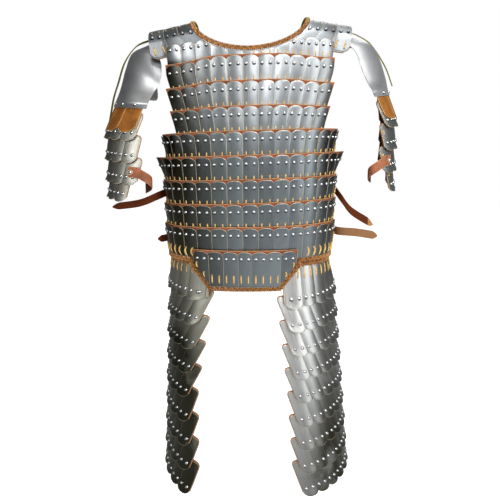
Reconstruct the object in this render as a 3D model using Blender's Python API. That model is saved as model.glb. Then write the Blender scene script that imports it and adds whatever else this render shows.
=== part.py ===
"""Lamellar plate armour, worn and hollow: a torso of laced rows of small steel plates, two shoulder
yokes, two arm guards with smooth spaulders, and two leg guards.

Metres. +X is the viewer's right, -Y the front and +Z up. The origin is on the shoulder line, midway
between the yokes, where the wearer carries the armour.
"""
from dataclasses import dataclass

import bmesh
import bpy
import numpy as np

# The make of a row: a leather band with steel plates riveted on
LEATHER = 0.003
PLATE = 0.0012
WALL = LEATHER + PLATE
CROWN = 0.0012  # how far the middle of a plate stands out from its edges
SHOULDER = 0.2  # share of a plate's width between its edge and its raised middle
BAND_END = 0.003  # leather showing past the last plate
GAP = 0.0003  # between pieces that touch
STRAP = 0.0025  # thickness of a leather strap
STEEL = 0.0015  # thickness of a spaulder

# The torso's rows
ROW_PITCH = 0.053
ROW_HEIGHT = 0.067
FIRST_ROW_TOP = -0.046
SLOPE = (WALL + CROWN + 2 * GAP) / ROW_PITCH  # how fast a row leans out, so that rows lie on each other
HEM = -0.546  # bottom edge of the last full row

# The torso's section, a superellipse: half widths at the middles of the rows named, half depth
HALF_WIDTHS = {1: 0.236, 3: 0.205, 4: 0.196}
HALF_DEPTH = 0.124
ROUNDNESS = 2.3

# Columns: plates, plate pitch, how far the front's ends flare at the top, how far its left and right ends sag
ROWS = (
    (11, 0.0332, 0.0, 0.005, 0.004),
    (11, 0.0335, 0.0, 0.011, 0.007),
    (11, 0.0328, 0.0, 0.008, 0.006),
    (11, 0.0314, 0.0, 0.004, 0.004),
    (15, 0.0343, 0.0, 0.0, 0.0),
    (15, 0.0343, 0.024, 0.0, 0.0),
    (15, 0.0343, 0.0070, 0.0, 0.0),
    (15, 0.0343, 0.0015, 0.0, 0.0),
    (15, 0.0343, 0.0005, 0.0, 0.0),
)
FLARE_SHARE = 0.7  # share of a row's half length that doesn't flare
SAG_FROM = 0.060  # distances from the middle between which an end sags
SAG_TO = 0.160
FIRST_ROW_CUT = 0.015  # how much lower than the others the first row is
FLAP_PLATES = 7
FLAP_PITCH = 0.0325
FLAP_CENTRE = -0.0115
FLAP_CORNER = -0.556  # height where the flap's sides start to slope in
FLAP_BOTTOM = -0.6095
FLAP_SLOPE_WIDTH = 0.040

# The neck and its braid
NECK_HALF_WIDTH = 0.128
# Columns: which way it faces, depth of the neckline, exponent of its curve
NECK_FRONT = (-1, 0.087, 2.0)
NECK_BACK = (1, 0.0945, 3.0)
BRAID = 0.0042
NECK_STEP = (0.050, 0.066)  # depths between which it goes from the yokes' edges to the first row's layer
NECK_STAND = (1.2, 2.1)  # how many walls it stands out there

# The yokes, saddles over the shoulders
YOKE_OUTER = 0.230  # its outer edge on the ridge, then at the bottom of its front and of its back
YOKE_FRONT_OUTER = 0.219
YOKE_BACK_OUTER = 0.180
YOKE_STRAIGHT = 0.193  # past this distance from the middle the yoke stands off the chest
YOKE_TAPER = 0.15
YOKE_RIDGE = -0.012  # its ridge by the neck, below the level from which the torso's heights are taken
YOKE_FALL = 0.12  # slope of the ridge past the neck
YOKE_RISE = 0.038  # height of the rounded top over the straight front and back
YOKE_FRONT = -0.085
YOKE_BACK = -0.125
YOKE_PLATES = 3
YOKE_CORNER = 0.012
YOKE_PLACES = (0.0, 0.3, 0.6, 0.8, 1.0)  # from the ridge to the end of the rounded top
YOKE_PRESS = 0.0028  # how far the front's bottom is pressed in, under the first row
YOKE_NECK_HOLD = 0.86  # share of the neckline's depth where the yoke's inner edge turns straight down

# The slouch: the viewer's left shoulder hangs lower, which fades out between two heights
SLOUCH = 0.033
SLOUCH_TOP = -0.42
SLOUCH_END = -0.54

# The arm guards' and leg guards' rows
RIVET_UP = 0.020  # from a row's bottom to its rivets
NOTCH = 0.012  # depth of the notches between the rounded bottoms
LEG_TOP = HEM - 2 * GAP  # the leg guards' first rows hang close under the torso's last
LEG_INSET = 0.0034  # from the torso's inner face to their outer face there

STEEL_LOOK = ((0.42, 0.43, 0.44), 0.32, 1.0)
BRAID_LOOK = ((0.33, 0.11, 0.03), 0.6, 0.0)
OLIVE_LOOK = ((0.20, 0.14, 0.03), 0.6, 0.0)
TAN_LOOK = ((0.50, 0.20, 0.05), 0.6, 0.0)
DARK_LOOK = ((0.06, 0.012, 0.006), 0.5, 0.0)
SPAULDER_LOOK = ((0.55, 0.56, 0.57), 0.25, 1.0)


@dataclass
class Limb:
    """The rows of one arm or leg, which lie on a cone. Pairs are values at the first and last rivets."""

    side: int  # 1 at the viewer's right, -1 at the left
    rows: int
    plates: int
    plate_pitch: float
    height: float  # of a row
    pitch: float
    first: float  # height of the first row's rivets, at the distance called level
    centre_x: tuple
    centre_y: float
    radius: tuple  # of the rows' inner faces
    start: tuple  # degrees from straight ahead out to the front end of the first, middle and last row
    climb: tuple  # degrees by which the first and last rows rise on their way back
    slant: float  # degrees by which the plates' bottoms point outward
    lip: float  # how far the bottoms stand out
    pinch: float  # how much tighter the first row is at its top
    last_raise: float = 0.0  # how much higher than the pitch the last row sits
    last_shrink: float = 0.0  # and how much tighter
    last_start: float = 0.0  # how much further round the last row begins
    last_plates: int = 0  # how many plates it has, where that differs
    level: float = 0.0  # how far round the rows' rivets have the heights given here


ARMS = {
    "left": Limb(
        side=-1,
        rows=4,
        plates=5,
        plate_pitch=0.033,
        height=0.067,
        pitch=0.051,
        first=-0.254,
        centre_x=(0.226, 0.226),
        centre_y=0.045,
        radius=(0.121, 0.121),
        start=(14, 14, 14),
        climb=(6, 6),
        slant=14,
        lip=0.005,
        pinch=0.016,
        last_raise=0.010,
        last_shrink=0.0015,
        last_start=0.030,
        last_plates=3,
    ),
    "right": Limb(
        side=1,
        rows=4,
        plates=5,
        plate_pitch=0.033,
        height=0.067,
        pitch=0.053,
        first=-0.243,
        centre_x=(0.231, 0.231),
        centre_y=0.045,
        radius=(0.121, 0.121),
        start=(38, 38, 38),
        climb=(6, 6),
        slant=14,
        lip=0.005,
        pinch=0.014,
        last_raise=0.004,
        last_shrink=0.0007,
        last_start=0.030,
        last_plates=3,
    ),
}
LEGS = {
    "left": Limb(
        side=-1,
        rows=9,
        plates=7,
        plate_pitch=0.034,
        height=0.091,
        pitch=0.0600,
        first=-0.626,
        centre_x=(0.053, 0.046),
        centre_y=0.040,
        radius=(0.141, 0.165),
        start=(20, 35.5, 34),
        climb=(2, 9),
        level=0.11,
        slant=19,
        lip=0.005,
        pinch=0.0,
    ),
    "right": Limb(
        side=1,
        rows=9,
        plates=7,
        plate_pitch=0.034,
        height=0.089,
        pitch=0.0572,
        first=-0.641,
        centre_x=(0.053, 0.062),
        centre_y=0.044,
        radius=(0.152, 0.183),
        start=(9, 15.5, 18),
        climb=(2, -1),
        level=0.11,
        slant=16,
        lip=0.005,
        pinch=0.0,
    ),
}

# Columns: how far out the spaulder's outer ridge is on the left arm and on the right arm, its height,
# degrees that the section leans, radius and centre depth of its arc, and the arc's front and back ends on
# the left arm and on the right arm
SPAULDER = (
    (0.213, 0.213, -0.0360, 40, 0.050, 0.005, 30, 140, 30, 135),
    (0.239, 0.240, -0.0460, 34, 0.060, 0.008, 28, 145, 30, 135),
    (0.279, 0.2865, -0.0630, 28, 0.080, 0.014, -7, 150, 18, 112),
    (0.298, 0.311, -0.0990, 24, 0.107, 0.022, 0, 152, 21, 112),
    (0.314, 0.329, -0.1400, 17, 0.115, 0.034, 7, 154, 25, 118),
)
# Points (distance out, height) down each arm strap, from under the yoke
ARM_STRAPS = {
    "left": (
        (0.2080, -0.0262),
        (0.2220, -0.0294),
        (0.2385, -0.0352),
        (0.2710, -0.0470),
        (0.3020, -0.0810),
        (0.3230, -0.1280),
        (0.3370, -0.1600),
        (0.3480, -0.1960),
        (0.3560, -0.2330),
    ),
    "right": (
        (0.2080, -0.0282),
        (0.2220, -0.0304),
        (0.2400, -0.0342),
        (0.2620, -0.0430),
        (0.2900, -0.0618),
        (0.3280, -0.1100),
        (0.3510, -0.1560),
    ),
}
ARM_STRAP_TURN = {"left": (0, 1, 0), "right": (0.2, 0.96, 0.18)}  # which way its width points
ARM_STRAP_WIDTH = 0.022
SPAULDER_LENGTH = {"left": 0.290, "right": 0.195}  # round the arm, at its bottom
SPAULDER_LAST = (-0.070, -0.056)  # its last two arcs, below the first row's rivets
ELBOW_LOBES = 3
ELBOW_LOBE = 0.050
ELBOW_START = 0.006  # from the first row's front end
ELBOW_NOTCH = 0.013
ELBOW_EDGES = (-0.062, -0.001)  # the elbow flap's top and bottom, below the first row's rivets
# The side straps: the row and the height they start at, then points (x, y, height) along the free part
SIDE_STRAPS = {
    "left_upper": (6, -0.398, ((-0.226, -0.012, -0.405), (-0.269, -0.016, -0.421), (-0.342, 0.0, -0.431))),
    "left_lower": (8, -0.519, ((-0.222, 0.004, -0.5205), (-0.232, 0.004, -0.5213))),
    "right_upper": (6, -0.398, ((0.224, -0.010, -0.425), (0.249, -0.012, -0.455), (0.3065, 0.0, -0.490))),
    "right_lower": (8, -0.502, ((0.222, -0.008, -0.503), (0.262, -0.010, -0.506), (0.319, 0.0, -0.516))),
}
SIDE_STRAP_WIDTH = 0.019
WRIST_ROW = 2
WRIST_WIDTH = 0.025
WRIST_START = 0.024  # from the row's front end
WRIST_DOWN = -0.012
WRIST_REACH = 0.023  # how far the loop goes past the row's end
WRIST_DEPTH = 0.034
WRIST_DROP = 0.038


def grid_faces(index):
    """Quads between the neighbours of a grid of point numbers."""
    a, b = index[:-1, :-1].ravel(), index[:-1, 1:].ravel()
    c, d = index[1:, 1:].ravel(), index[1:, :-1].ravel()
    return np.stack([a, b, c, d], 1).tolist()


def rim(index):
    """The point numbers round a grid's edge, in order."""
    return np.concatenate([index[0], index[1:, -1], index[-1, -2::-1], index[-2:0:-1, 0]])


def slouched(points):
    """Points with the slouch: height changes with x, above the hem only. The yokes' ridges lie on the
    wearer's shoulders at the origin's height."""
    share = np.clip((points[..., 2] - SLOUCH_END) / (SLOUCH_TOP - SLOUCH_END), 0, 1)
    moved = points.copy()
    moved[..., 2] += SLOUCH * share * points[..., 0] - YOKE_RIDGE
    return moved


def finish(name, mesh, look):
    colour, roughness, metallic = look
    material = bpy.data.materials.new(name)
    material.use_nodes = True
    shader = material.node_tree.nodes["Principled BSDF"]
    shader.inputs["Base Color"].default_value = (*colour, 1)
    shader.inputs["Roughness"].default_value = roughness
    shader.inputs["Metallic"].default_value = metallic
    mesh.materials.append(material)
    obj = bpy.data.objects.new(name, mesh)
    PARTS.objects.link(obj)
    return obj


def wall(name, inner, outer, look):
    """A wall between two grids of points of one shape, closed along its four edges."""
    points = slouched(np.concatenate([inner.reshape(-1, 3), outer.reshape(-1, 3)]))
    index = np.arange(len(points)).reshape(2, *inner.shape[:2])
    edge = np.stack([rim(side) for side in index])
    edge = np.concatenate([edge, edge[:, :1]], 1)
    mesh = bpy.data.meshes.new(name)
    mesh.from_pydata(points.tolist(), [], grid_faces(index[0]) + grid_faces(index[1]) + grid_faces(edge))
    shell = bmesh.new()
    shell.from_mesh(mesh)
    bmesh.ops.recalc_face_normals(shell, faces=shell.faces)
    shell.to_mesh(mesh)
    shell.free()
    mesh.set_sharp_from_angle(angle=0.5)
    return finish(name, mesh, look)


def tube(name, path, radius, look, closed=False):
    """A round cord along points."""
    path = slouched(path)
    curve = bpy.data.curves.new(name, "CURVE")
    curve.dimensions = "3D"
    curve.bevel_depth = radius
    curve.bevel_resolution = 1
    curve.use_fill_caps = not closed
    spline = curve.splines.new("POLY")
    spline.points.add(len(path) - 1)
    spline.points.foreach_set("co", np.column_stack([path, np.ones(len(path))]).ravel())
    spline.use_cyclic_u = closed
    return finish(name, curve, look)


def plate_columns(plates, pitch):
    """Places along a row, from its middle, and how far each is raised: a plate's edges are low."""
    edges = np.arange(plates + 1, dtype=float)
    low = np.column_stack([edges, 0 * edges])
    rising = np.column_stack([edges[:-1] + SHOULDER, 0 * edges[:-1] + 1])
    falling = np.column_stack([edges[1:] - SHOULDER, 0 * edges[:-1] + 1])
    table = np.concatenate([low, rising, falling])
    table = table[np.argsort(table[:, 0])]
    along = (table[:, 0] - plates / 2) * pitch
    along[0] -= BAND_END
    along[-1] += BAND_END
    return along, table[:, 1]


def row_top(i):
    return FIRST_ROW_TOP - i * ROW_PITCH


def row_middle(i):
    return row_top(i) - ROW_HEIGHT / 2


def half_width(z):
    heights = [-row_middle(i) for i in HALF_WIDTHS]
    return np.interp(-z, heights, list(HALF_WIDTHS.values()))


def depth_at(x):
    """Depth of the chest's section at a distance from the middle."""
    return HALF_DEPTH * (1 - (np.abs(x) / half_width(0)) ** ROUNDNESS) ** (1 / ROUNDNESS)


def yoke_depth(x):
    """The same, but going straight where the yoke stands off the chest's side."""
    past = np.clip(np.abs(x) - YOKE_STRAIGHT, 0, None)
    return depth_at(np.minimum(np.abs(x), YOKE_STRAIGHT)) - YOKE_TAPER * past


def section(angle, z, offset, facing):
    """Points of the torso's superellipse, moved out by an offset. The angle runs from the middle of the
    front (facing -1) or of the back (facing 1) to the sides."""
    width, depth = half_width(z), HALF_DEPTH
    power = 2 / ROUNDNESS
    x = width * np.sign(np.sin(angle)) * np.abs(np.sin(angle)) ** power
    y = depth * np.abs(np.cos(angle)) ** power
    normal_x = np.sign(x) * np.abs(x / width) ** (ROUNDNESS - 1) / width
    normal_y = (y / depth) ** (ROUNDNESS - 1) / depth
    size = np.hypot(normal_x, normal_y)
    return np.stack([x + offset * normal_x / size, facing * (y + offset * normal_y / size), z + 0 * x], -1)


def arc_length(angle, z):
    """Length along the section from its middle to an angle."""
    points = section(np.linspace(0, angle, 400), np.full(400, z), 0.0, -1)
    return np.linalg.norm(np.diff(points, axis=0), axis=1).sum()


def angles_at(along, z):
    """Section angles at distances along the section from its middle."""
    angle = np.linspace(0, np.pi / 2, 400)
    points = section(angle, np.full_like(angle, z), 0.0, -1)
    length = np.concatenate([[0], np.cumsum(np.linalg.norm(np.diff(points, axis=0), axis=1))])
    return np.sign(along) * np.interp(np.abs(along), length, angle)


def neck_height(x, depth, power):
    """Height of a neckline at a distance from the middle."""
    inside = np.clip(1 - (np.abs(x) / NECK_HALF_WIDTH) ** power, 0, 1)
    return YOKE_RIDGE - (depth + YOKE_RIDGE) * inside ** (1 / power)


def neck_width(z, depth, power):
    """Half width of a neckline at a height."""
    share = np.clip((YOKE_RIDGE - z) / (depth + YOKE_RIDGE), 0, 1)
    return NECK_HALF_WIDTH * (1 - share**power) ** (1 / power)


def clear_of(curve, at, *shape):
    """How far to move along an axis from a neckline's point, so as to clear the braid on it."""
    step = 1e-4
    slope = (curve(at + step, *shape) - curve(at - step, *shape)) / (2 * step)
    return (BRAID + 2 * GAP) * np.hypot(1, np.clip(slope, -3, 3))


def torso_row(name, i, facing):
    """A row of the torso. It leans out toward its top. In front its ends may flare and sag."""
    plates, pitch, flare, *sags = ROWS[i]
    bottom = HEM if i == len(ROWS) - 1 else row_top(i) - ROW_HEIGHT
    along, raised = plate_columns(plates, pitch)
    middle = row_middle(i)
    angle = angles_at(along, middle)
    x = section(angle, np.full_like(angle, middle), 0.0, facing)[:, 0]
    upper = np.minimum(row_top(0) - FIRST_ROW_CUT, neck_edge(x)) if i == 0 else np.full_like(x, row_top(i))
    bend = [np.full_like(x, middle)] if i in HALF_WIDTHS else []
    hang = np.clip((np.abs(along) - SAG_FROM) / (SAG_TO - SAG_FROM), 0, 1)
    drop = (facing < 0) * np.where(along < 0, *sags) * hang**2 * (3 - 2 * hang)
    z = np.stack([bottom - drop, *bend, upper - drop])
    share = np.clip((np.abs(along) / along[-1] - FLARE_SHARE) / (1 - FLARE_SHARE), 0, 1)
    height = z - row_top(i) + ROW_HEIGHT
    inner_offset = SLOPE * height + (facing < 0) * flare * share**2 * height / ROW_HEIGHT
    inner = section(angle, z, inner_offset, facing)
    outer = section(angle, z, inner_offset + WALL + CROWN * raised, facing)
    return wall(name, inner, outer, STEEL_LOOK)


def neck_edge(x):
    """Top edge of the first front row where it is cut out under the neck braid."""
    shape = NECK_FRONT[1:]
    return neck_height(x, *shape) - clear_of(neck_height, x, *shape)


def flap_half_width():
    return FLAP_PLATES * FLAP_PITCH / 2 + BAND_END


def flap_edge(x):
    """Bottom edge of the flap: level in the middle, with its two sides sloping up."""
    share = (np.abs(x) - flap_half_width() + FLAP_SLOPE_WIDTH) / FLAP_SLOPE_WIDTH
    return FLAP_BOTTOM + (FLAP_CORNER - FLAP_BOTTOM) * np.clip(share, 0, 1)


def build_torso():
    for i in range(len(ROWS)):
        torso_row(f"front_row_{i}", i, -1)
        if i:
            torso_row(f"back_row_{i}", i, 1)


def flap_frame(along, z, offset):
    """Points of the flap, which hangs a little to the side of the middle."""
    angle = angles_at(along + FLAP_CENTRE, FLAP_CORNER)
    return section(angle, z, SLOPE * (z - FLAP_BOTTOM) + offset, -1)


def build_flap():
    along, raised = plate_columns(FLAP_PLATES, FLAP_PITCH)
    top = row_top(len(ROWS))
    z = np.stack([flap_edge(along), np.full_like(along, top)])
    wall("front_flap", flap_frame(along, z, 0.0), flap_frame(along, z, WALL + CROWN * raised), STEEL_LOOK)


def build_hem_braid():
    """The braid along the hem: level under the last row, then round the flap's outline."""
    clear = BRAID + GAP
    half = flap_half_width()
    side = ROWS[-1][0] * ROWS[-1][1] / 2
    points = []
    for sign in (-1, 1):
        middle = sign * FLAP_CENTRE
        level = np.linspace(side, half + middle + 2.4 * clear, 9)
        along = sign * level
        z = np.full_like(along, HEM - clear)
        run = section(angles_at(along, HEM), z, WALL / 2, -1)
        slope = np.array([half + 1.3 * clear, half - FLAP_SLOPE_WIDTH + 0.45 * clear])
        low = np.array([FLAP_CORNER - 0.7 * clear, FLAP_BOTTOM - clear])
        corner = flap_frame(sign * slope, low, WALL / 2)
        points.append(np.concatenate([run, corner]))
    middle = np.linspace(-half + FLAP_SLOPE_WIDTH, half - FLAP_SLOPE_WIDTH, 7)[1:-1]
    bottom = flap_frame(middle, np.full_like(middle, FLAP_BOTTOM - clear), WALL / 2)
    tube("hem_braid", np.concatenate([points[0], bottom, points[1][::-1]]), BRAID, BRAID_LOOK)


def cape(x, place, facing, offset):
    """Points of the yokes' saddle. Place is 0 on the ridge, 1 where the rounded top ends and more below,
    in metres past 1. The saddle falls outward past the neck."""
    fall = YOKE_FALL * np.clip(np.abs(x) - NECK_HALF_WIDTH, 0, None)
    turn = np.clip(place, 0, 1) * np.pi / 2
    below = np.clip(place - 1, 0, None)
    y = (yoke_depth(x) + offset) * np.sin(turn)
    z = YOKE_RIDGE + (YOKE_RISE + offset) * np.cos(turn) - YOKE_RISE - fall - below
    return np.stack([x, facing * y, z], -1)


def yoke_stations(neck, low, outer):
    """Places down one side of a yoke, with its inner and outer edges and how far it's pressed in."""
    facing, *shape = neck
    stations = []
    straight = YOKE_RIDGE - YOKE_RISE
    for place in (*YOKE_PLACES, 1 + straight - low):
        z = YOKE_RIDGE + YOKE_RISE * (np.cos(min(place, 1) * np.pi / 2) - 1) - max(place - 1, 0)
        held = max(z, -YOKE_NECK_HOLD * shape[0])
        inner_x = neck_width(held, *shape) + clear_of(neck_width, held, *shape)
        outer_x = np.interp(-z, (-YOKE_RIDGE, -low), (YOKE_OUTER, outer))
        press = np.interp(place, (1.0, 1 + straight - YOKE_FRONT), (0, -YOKE_PRESS))
        stations.append((facing, place, inner_x, outer_x, press))
    return stations


def build_yoke(name, side):
    """A saddle three plates wide from the front over the ridge to the back."""
    edge, raised = plate_columns(YOKE_PLATES, 1 / YOKE_PLATES)
    across = np.clip(edge + 0.5, 0, 1)
    front = yoke_stations(NECK_FRONT, YOKE_FRONT, YOKE_FRONT_OUTER)
    back = yoke_stations(NECK_BACK, YOKE_BACK, YOKE_BACK_OUTER)
    stations = front[:0:-1] + back
    inner, outer = [], []
    for facing, place, inner_x, outer_x, press in stations:
        x = inner_x + (outer_x - inner_x) * across
        lift = YOKE_CORNER * (across == 1) * (place == front[-1][1] and facing < 0)
        for grid, offset in ((inner, press), (outer, press + WALL + CROWN * raised * (place <= 1))):
            grid.append(cape(x, place - lift, facing, offset) * (side, 1, 1))
    wall(name, np.stack(inner), np.stack(outer), STEEL_LOOK)


def neck_run(facing, depth, power):
    """Half of the neck braid's path. It is on the yokes' edges high up and on the first row's layer below."""
    turn = np.linspace(-np.pi / 2, np.pi / 2, 33)
    x = NECK_HALF_WIDTH * np.sign(turn) * np.abs(np.sin(turn)) ** (2 / power)
    z = YOKE_RIDGE - (depth + YOKE_RIDGE) * np.abs(np.cos(turn)) ** (2 / power)
    risen = np.clip((z - YOKE_RIDGE) / YOKE_RISE + 1, 0, 1)
    forward = np.sqrt(1 - risen**2)
    stand = WALL * np.interp(-z, NECK_STEP, NECK_STAND)
    y = (yoke_depth(x) + stand) * forward
    return np.stack([x, facing * y, z + stand * risen], -1)


def build_neck_braid():
    """A ring round the neck opening, lying along the yokes' inner edges and the first rows' tops."""
    front, back = neck_run(*NECK_FRONT), neck_run(*NECK_BACK)
    tube("neck_braid", np.concatenate([front[1:], back[-2::-1]]), BRAID, BRAID_LOOK, closed=True)


def limb_points(limb, row, along, down, offset):
    """Points of a limb's cone. Along is the distance from the row's front end, down the distance below
    its rivets, offset the distance out from the rows' inner faces."""
    climb = np.radians(np.interp(row, (0, limb.rows - 1), limb.climb))
    slant = np.radians(limb.slant)
    last = row == limb.rows - 1
    along = along + limb.last_start * last
    z = limb.first - row * limb.pitch + (along - limb.level) * np.sin(climb) - down * np.cos(slant)
    share = (limb.first - z) / ((limb.rows - 1) * limb.pitch)
    z = z + limb.last_raise * last
    radius = limb.radius[0] + (limb.radius[1] - limb.radius[0]) * share - limb.last_shrink * last
    start = np.radians(np.interp(share, (0, 0.5, 1), limb.start))
    centre = limb.centre_x[0] + (limb.centre_x[1] - limb.centre_x[0]) * share
    angle = start + (along * np.cos(climb) + down * np.sin(slant)) / radius
    x = centre + (radius + offset) * np.sin(angle)
    y = limb.centre_y - (radius + offset) * np.cos(angle)
    return np.stack([limb.side * x, y, z], -1)


def lean(limb, row, down):
    """How far a limb's row stands out at a distance below its rivets: the upper row lies on the lower."""
    share = (down - RIVET_UP) / limb.height + 1
    overlap = limb.pitch / limb.height
    lip = np.clip((share - overlap) / (1 - overlap), 0, None)
    pinch = limb.pinch * np.clip(1 - share / overlap, 0, None) * (row == 0)
    return (WALL + CROWN + 2 * GAP) * share / overlap + limb.lip * lip**2 - pinch


def on_row(limb, row, along, down, above=0.0):
    """Points on a limb row's outer face, or above it."""
    return limb_points(limb, row, along, down, lean(limb, row, down) + WALL + CROWN + GAP + above)


def hem_points(limb, along, offset):
    """Points inside the torso's hem, going round from a leg row's front end past the torso's side."""
    quarter = arc_length(np.radians(90), LEG_TOP)
    first = limb_points(limb, 0, 0.0, 0.0, 0.0)
    past = along + arc_length(np.arcsin((abs(first[0]) / half_width(LEG_TOP)) ** (ROUNDNESS / 2)), LEG_TOP)
    angle = angles_at(np.minimum(past, 2 * quarter - past), LEG_TOP)
    points = section(angle, np.full_like(angle, LEG_TOP), offset, -1)
    turned = np.where(past > quarter, -1, 1)
    return points * np.stack([np.full_like(angle, limb.side), turned, np.ones_like(angle)], -1)


def limb_row(name, limb, row, hem=False):
    """One row of a limb, with rounded plate bottoms. At the hem, its top edge follows the torso."""
    last = row == limb.rows - 1
    along, raised = plate_columns(last and limb.last_plates or limb.plates, limb.plate_pitch)
    along = along - along[0]
    overlap = np.array([0.0, limb.pitch, limb.height])[:, None]
    down = overlap - limb.height + RIVET_UP + 0 * along
    offset = lean(limb, row, down)
    down[-1] -= NOTCH * (1 - raised)
    inner = limb_points(limb, row, along, down, offset)
    outer = limb_points(limb, row, along, down, offset + WALL + CROWN * raised)
    if hem:
        inner[0] = hem_points(limb, along, -LEG_INSET - WALL - CROWN)
        outer[0] = hem_points(limb, along, -LEG_INSET - CROWN * (1 - raised))
    return wall(name, inner, outer, STEEL_LOOK)


def build_elbow_flap(side, limb):
    """A leather flap of rounded lobes that lies over the first row and under the spaulder."""
    lobe = np.array([[0.0, 1.0], [0.2, 0.25], [0.5, 0.0], [0.8, 0.25]])
    columns = np.concatenate([lobe + (i, 0) for i in range(ELBOW_LOBES)] + [[[ELBOW_LOBES, 1.0]]])
    along = ELBOW_START + ELBOW_LOBE * columns[:, 0]
    top, bottom = ELBOW_EDGES
    down = top + (bottom - top) * np.array([0.0, 0.5, 1.0])[:, None] + 0 * along
    down[-1] -= ELBOW_NOTCH * columns[:, 1]
    inner = on_row(limb, 0, along, down, 2 * GAP)
    outer = on_row(limb, 0, along, down, 2 * GAP + STRAP)
    wall(f"elbow_flap_{side}", inner, outer, TAN_LOOK)


def spaulder_grid(side, limb, offset):
    """Points of the spaulder: arcs that lean less and less, from under the yoke down to the elbow."""
    grid = []
    for left_x, right_x, z, tilt, radius, centre_y, *ends in SPAULDER:
        x, (front, back) = (left_x, ends[:2]) if side == "left" else (right_x, ends[2:])
        out = np.array([np.cos(np.radians(tilt)), 0, np.sin(np.radians(tilt))])
        angle = np.radians(np.linspace(front, back, 13))[:, None]
        radial = np.sin(angle) * out - np.cos(angle) * (0, 1, 0)
        centre = np.array([x, centre_y, z]) - radius * out
        grid.append((centre + (radius + offset) * radial) * (limb.side, 1, 1))
    along = np.linspace(-0.004, SPAULDER_LENGTH[side], 13)
    for down in SPAULDER_LAST:
        grid.append(on_row(limb, 0, along, np.full_like(along, down), STRAP + 5 * GAP + offset))
    return np.stack(grid)


def build_spaulder(side, limb):
    """One curved steel plate. Its last section lies over the elbow flap."""
    wall(f"spaulder_{side}", spaulder_grid(side, limb, 0.0), spaulder_grid(side, limb, STEEL), SPAULDER_LOOK)


def strap(name, path, across, outward, look):
    """A strap along points, with half of its width as a vector at each point. Its thickness goes out from
    the path, on the side that the outward vector shows at the first point."""
    path, across = np.asarray(path, float), np.asarray(across, float) + np.zeros((len(path), 3))
    normal = np.cross(np.gradient(path, axis=0), across)
    normal *= STRAP / np.linalg.norm(normal, axis=1)[:, None]
    normal *= np.sign(normal[0] @ outward)
    low = np.stack([path - across, path + across])
    return wall(name, low, low + normal, look)


def build_arm_strap(side, limb):
    """A strap down the outer side of the arm, from under the yoke."""
    out, z = np.array(ARM_STRAPS[side]).T
    y = np.interp(-z, (0.03, 0.20), (0.002, limb.centre_y))
    path = np.column_stack([limb.side * out, y, z])
    width = ARM_STRAP_WIDTH / 2 * np.array([1.0] * (len(path) - 1) + [0.7])
    across = width[:, None] * np.array([ARM_STRAP_TURN[side]])
    strap(f"arm_strap_{side}", path, across, (limb.side, 0, 1), OLIVE_LOOK)


def build_side_strap(name, row, z, free):
    """An unfastened strap from a back row's outer face out past the torso's side, with a pointed end."""
    side = np.sign(free[0][0])
    angle = np.radians([76.0, 84.0])
    stand = SLOPE * (z + SIDE_STRAP_WIDTH / 2 - row_top(row) + ROW_HEIGHT) + WALL + CROWN + 2 * GAP
    start = section(angle, np.full(2, z), stand, 1) * (side, 1, 1)
    path = np.concatenate([start, free])
    width = SIDE_STRAP_WIDTH / 2 * np.array([1.0] * (len(path) - 1) + [0.2])
    if len(free) > 2:
        path = np.insert(path, -1, 0.25 * path[-2] + 0.75 * path[-1], axis=0)
        width = np.insert(width, -1, width[0])
    across = width[:, None] * np.array([[0, 0, 1]])
    look = TAN_LOOK if name == "right_lower" else DARK_LOOK
    strap(f"strap_{name}", path, across, (side, 0, 0), look)


def build_wrist_loop(side, limb):
    """A strap from the face of an arm row, out past the row's front end and back inside it."""
    along = np.array([WRIST_START, WRIST_START / 2, 0.001])
    held = on_row(limb, WRIST_ROW, along, np.full(3, WRIST_DOWN), SLOPE * WRIST_WIDTH / 2 + GAP)
    onward = held[-1] - held[-2]
    onward /= np.linalg.norm(onward)
    inward = np.cross(onward, (0, 0, 1.0))
    inward *= -np.sign(inward @ (held[-1] - (limb.side * limb.centre_x[0], limb.centre_y, held[-1][2])))
    turn = np.linspace(0, np.pi, 9)[1:, None]
    loop = held[-1] + WRIST_REACH * np.sin(turn) * onward + WRIST_DEPTH / 2 * (1 - np.cos(turn)) * inward
    loop = loop - WRIST_DROP * turn / np.pi * (0, 0, 1)
    strap(f"wrist_loop_{side}", np.concatenate([held, loop]), (0, 0, WRIST_WIDTH / 2), -inward, TAN_LOOK)


def clear_scene():
    for obj in list(bpy.data.objects):
        bpy.data.objects.remove(obj, do_unlink=True)


clear_scene()
PARTS = bpy.data.collections.new("Lamellar armour")
bpy.context.scene.collection.children.link(PARTS)
build_torso()
build_flap()
build_hem_braid()
build_yoke("shoulder_left", -1)
build_yoke("shoulder_right", 1)
build_neck_braid()
for side_name, arm in ARMS.items():
    build_spaulder(side_name, arm)
    build_elbow_flap(side_name, arm)
    build_arm_strap(side_name, arm)
    build_wrist_loop(side_name, arm)
    for i in range(arm.rows):
        limb_row(f"arm_{side_name}_row_{i}", arm, i)
for side_name, leg in LEGS.items():
    for i in range(leg.rows):
        limb_row(f"leg_{side_name}_row_{i}", leg, i, hem=i == 0)
for strap_name, strap_row in SIDE_STRAPS.items():
    build_side_strap(strap_name, *strap_row)
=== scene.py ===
from dataclasses import dataclass

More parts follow.
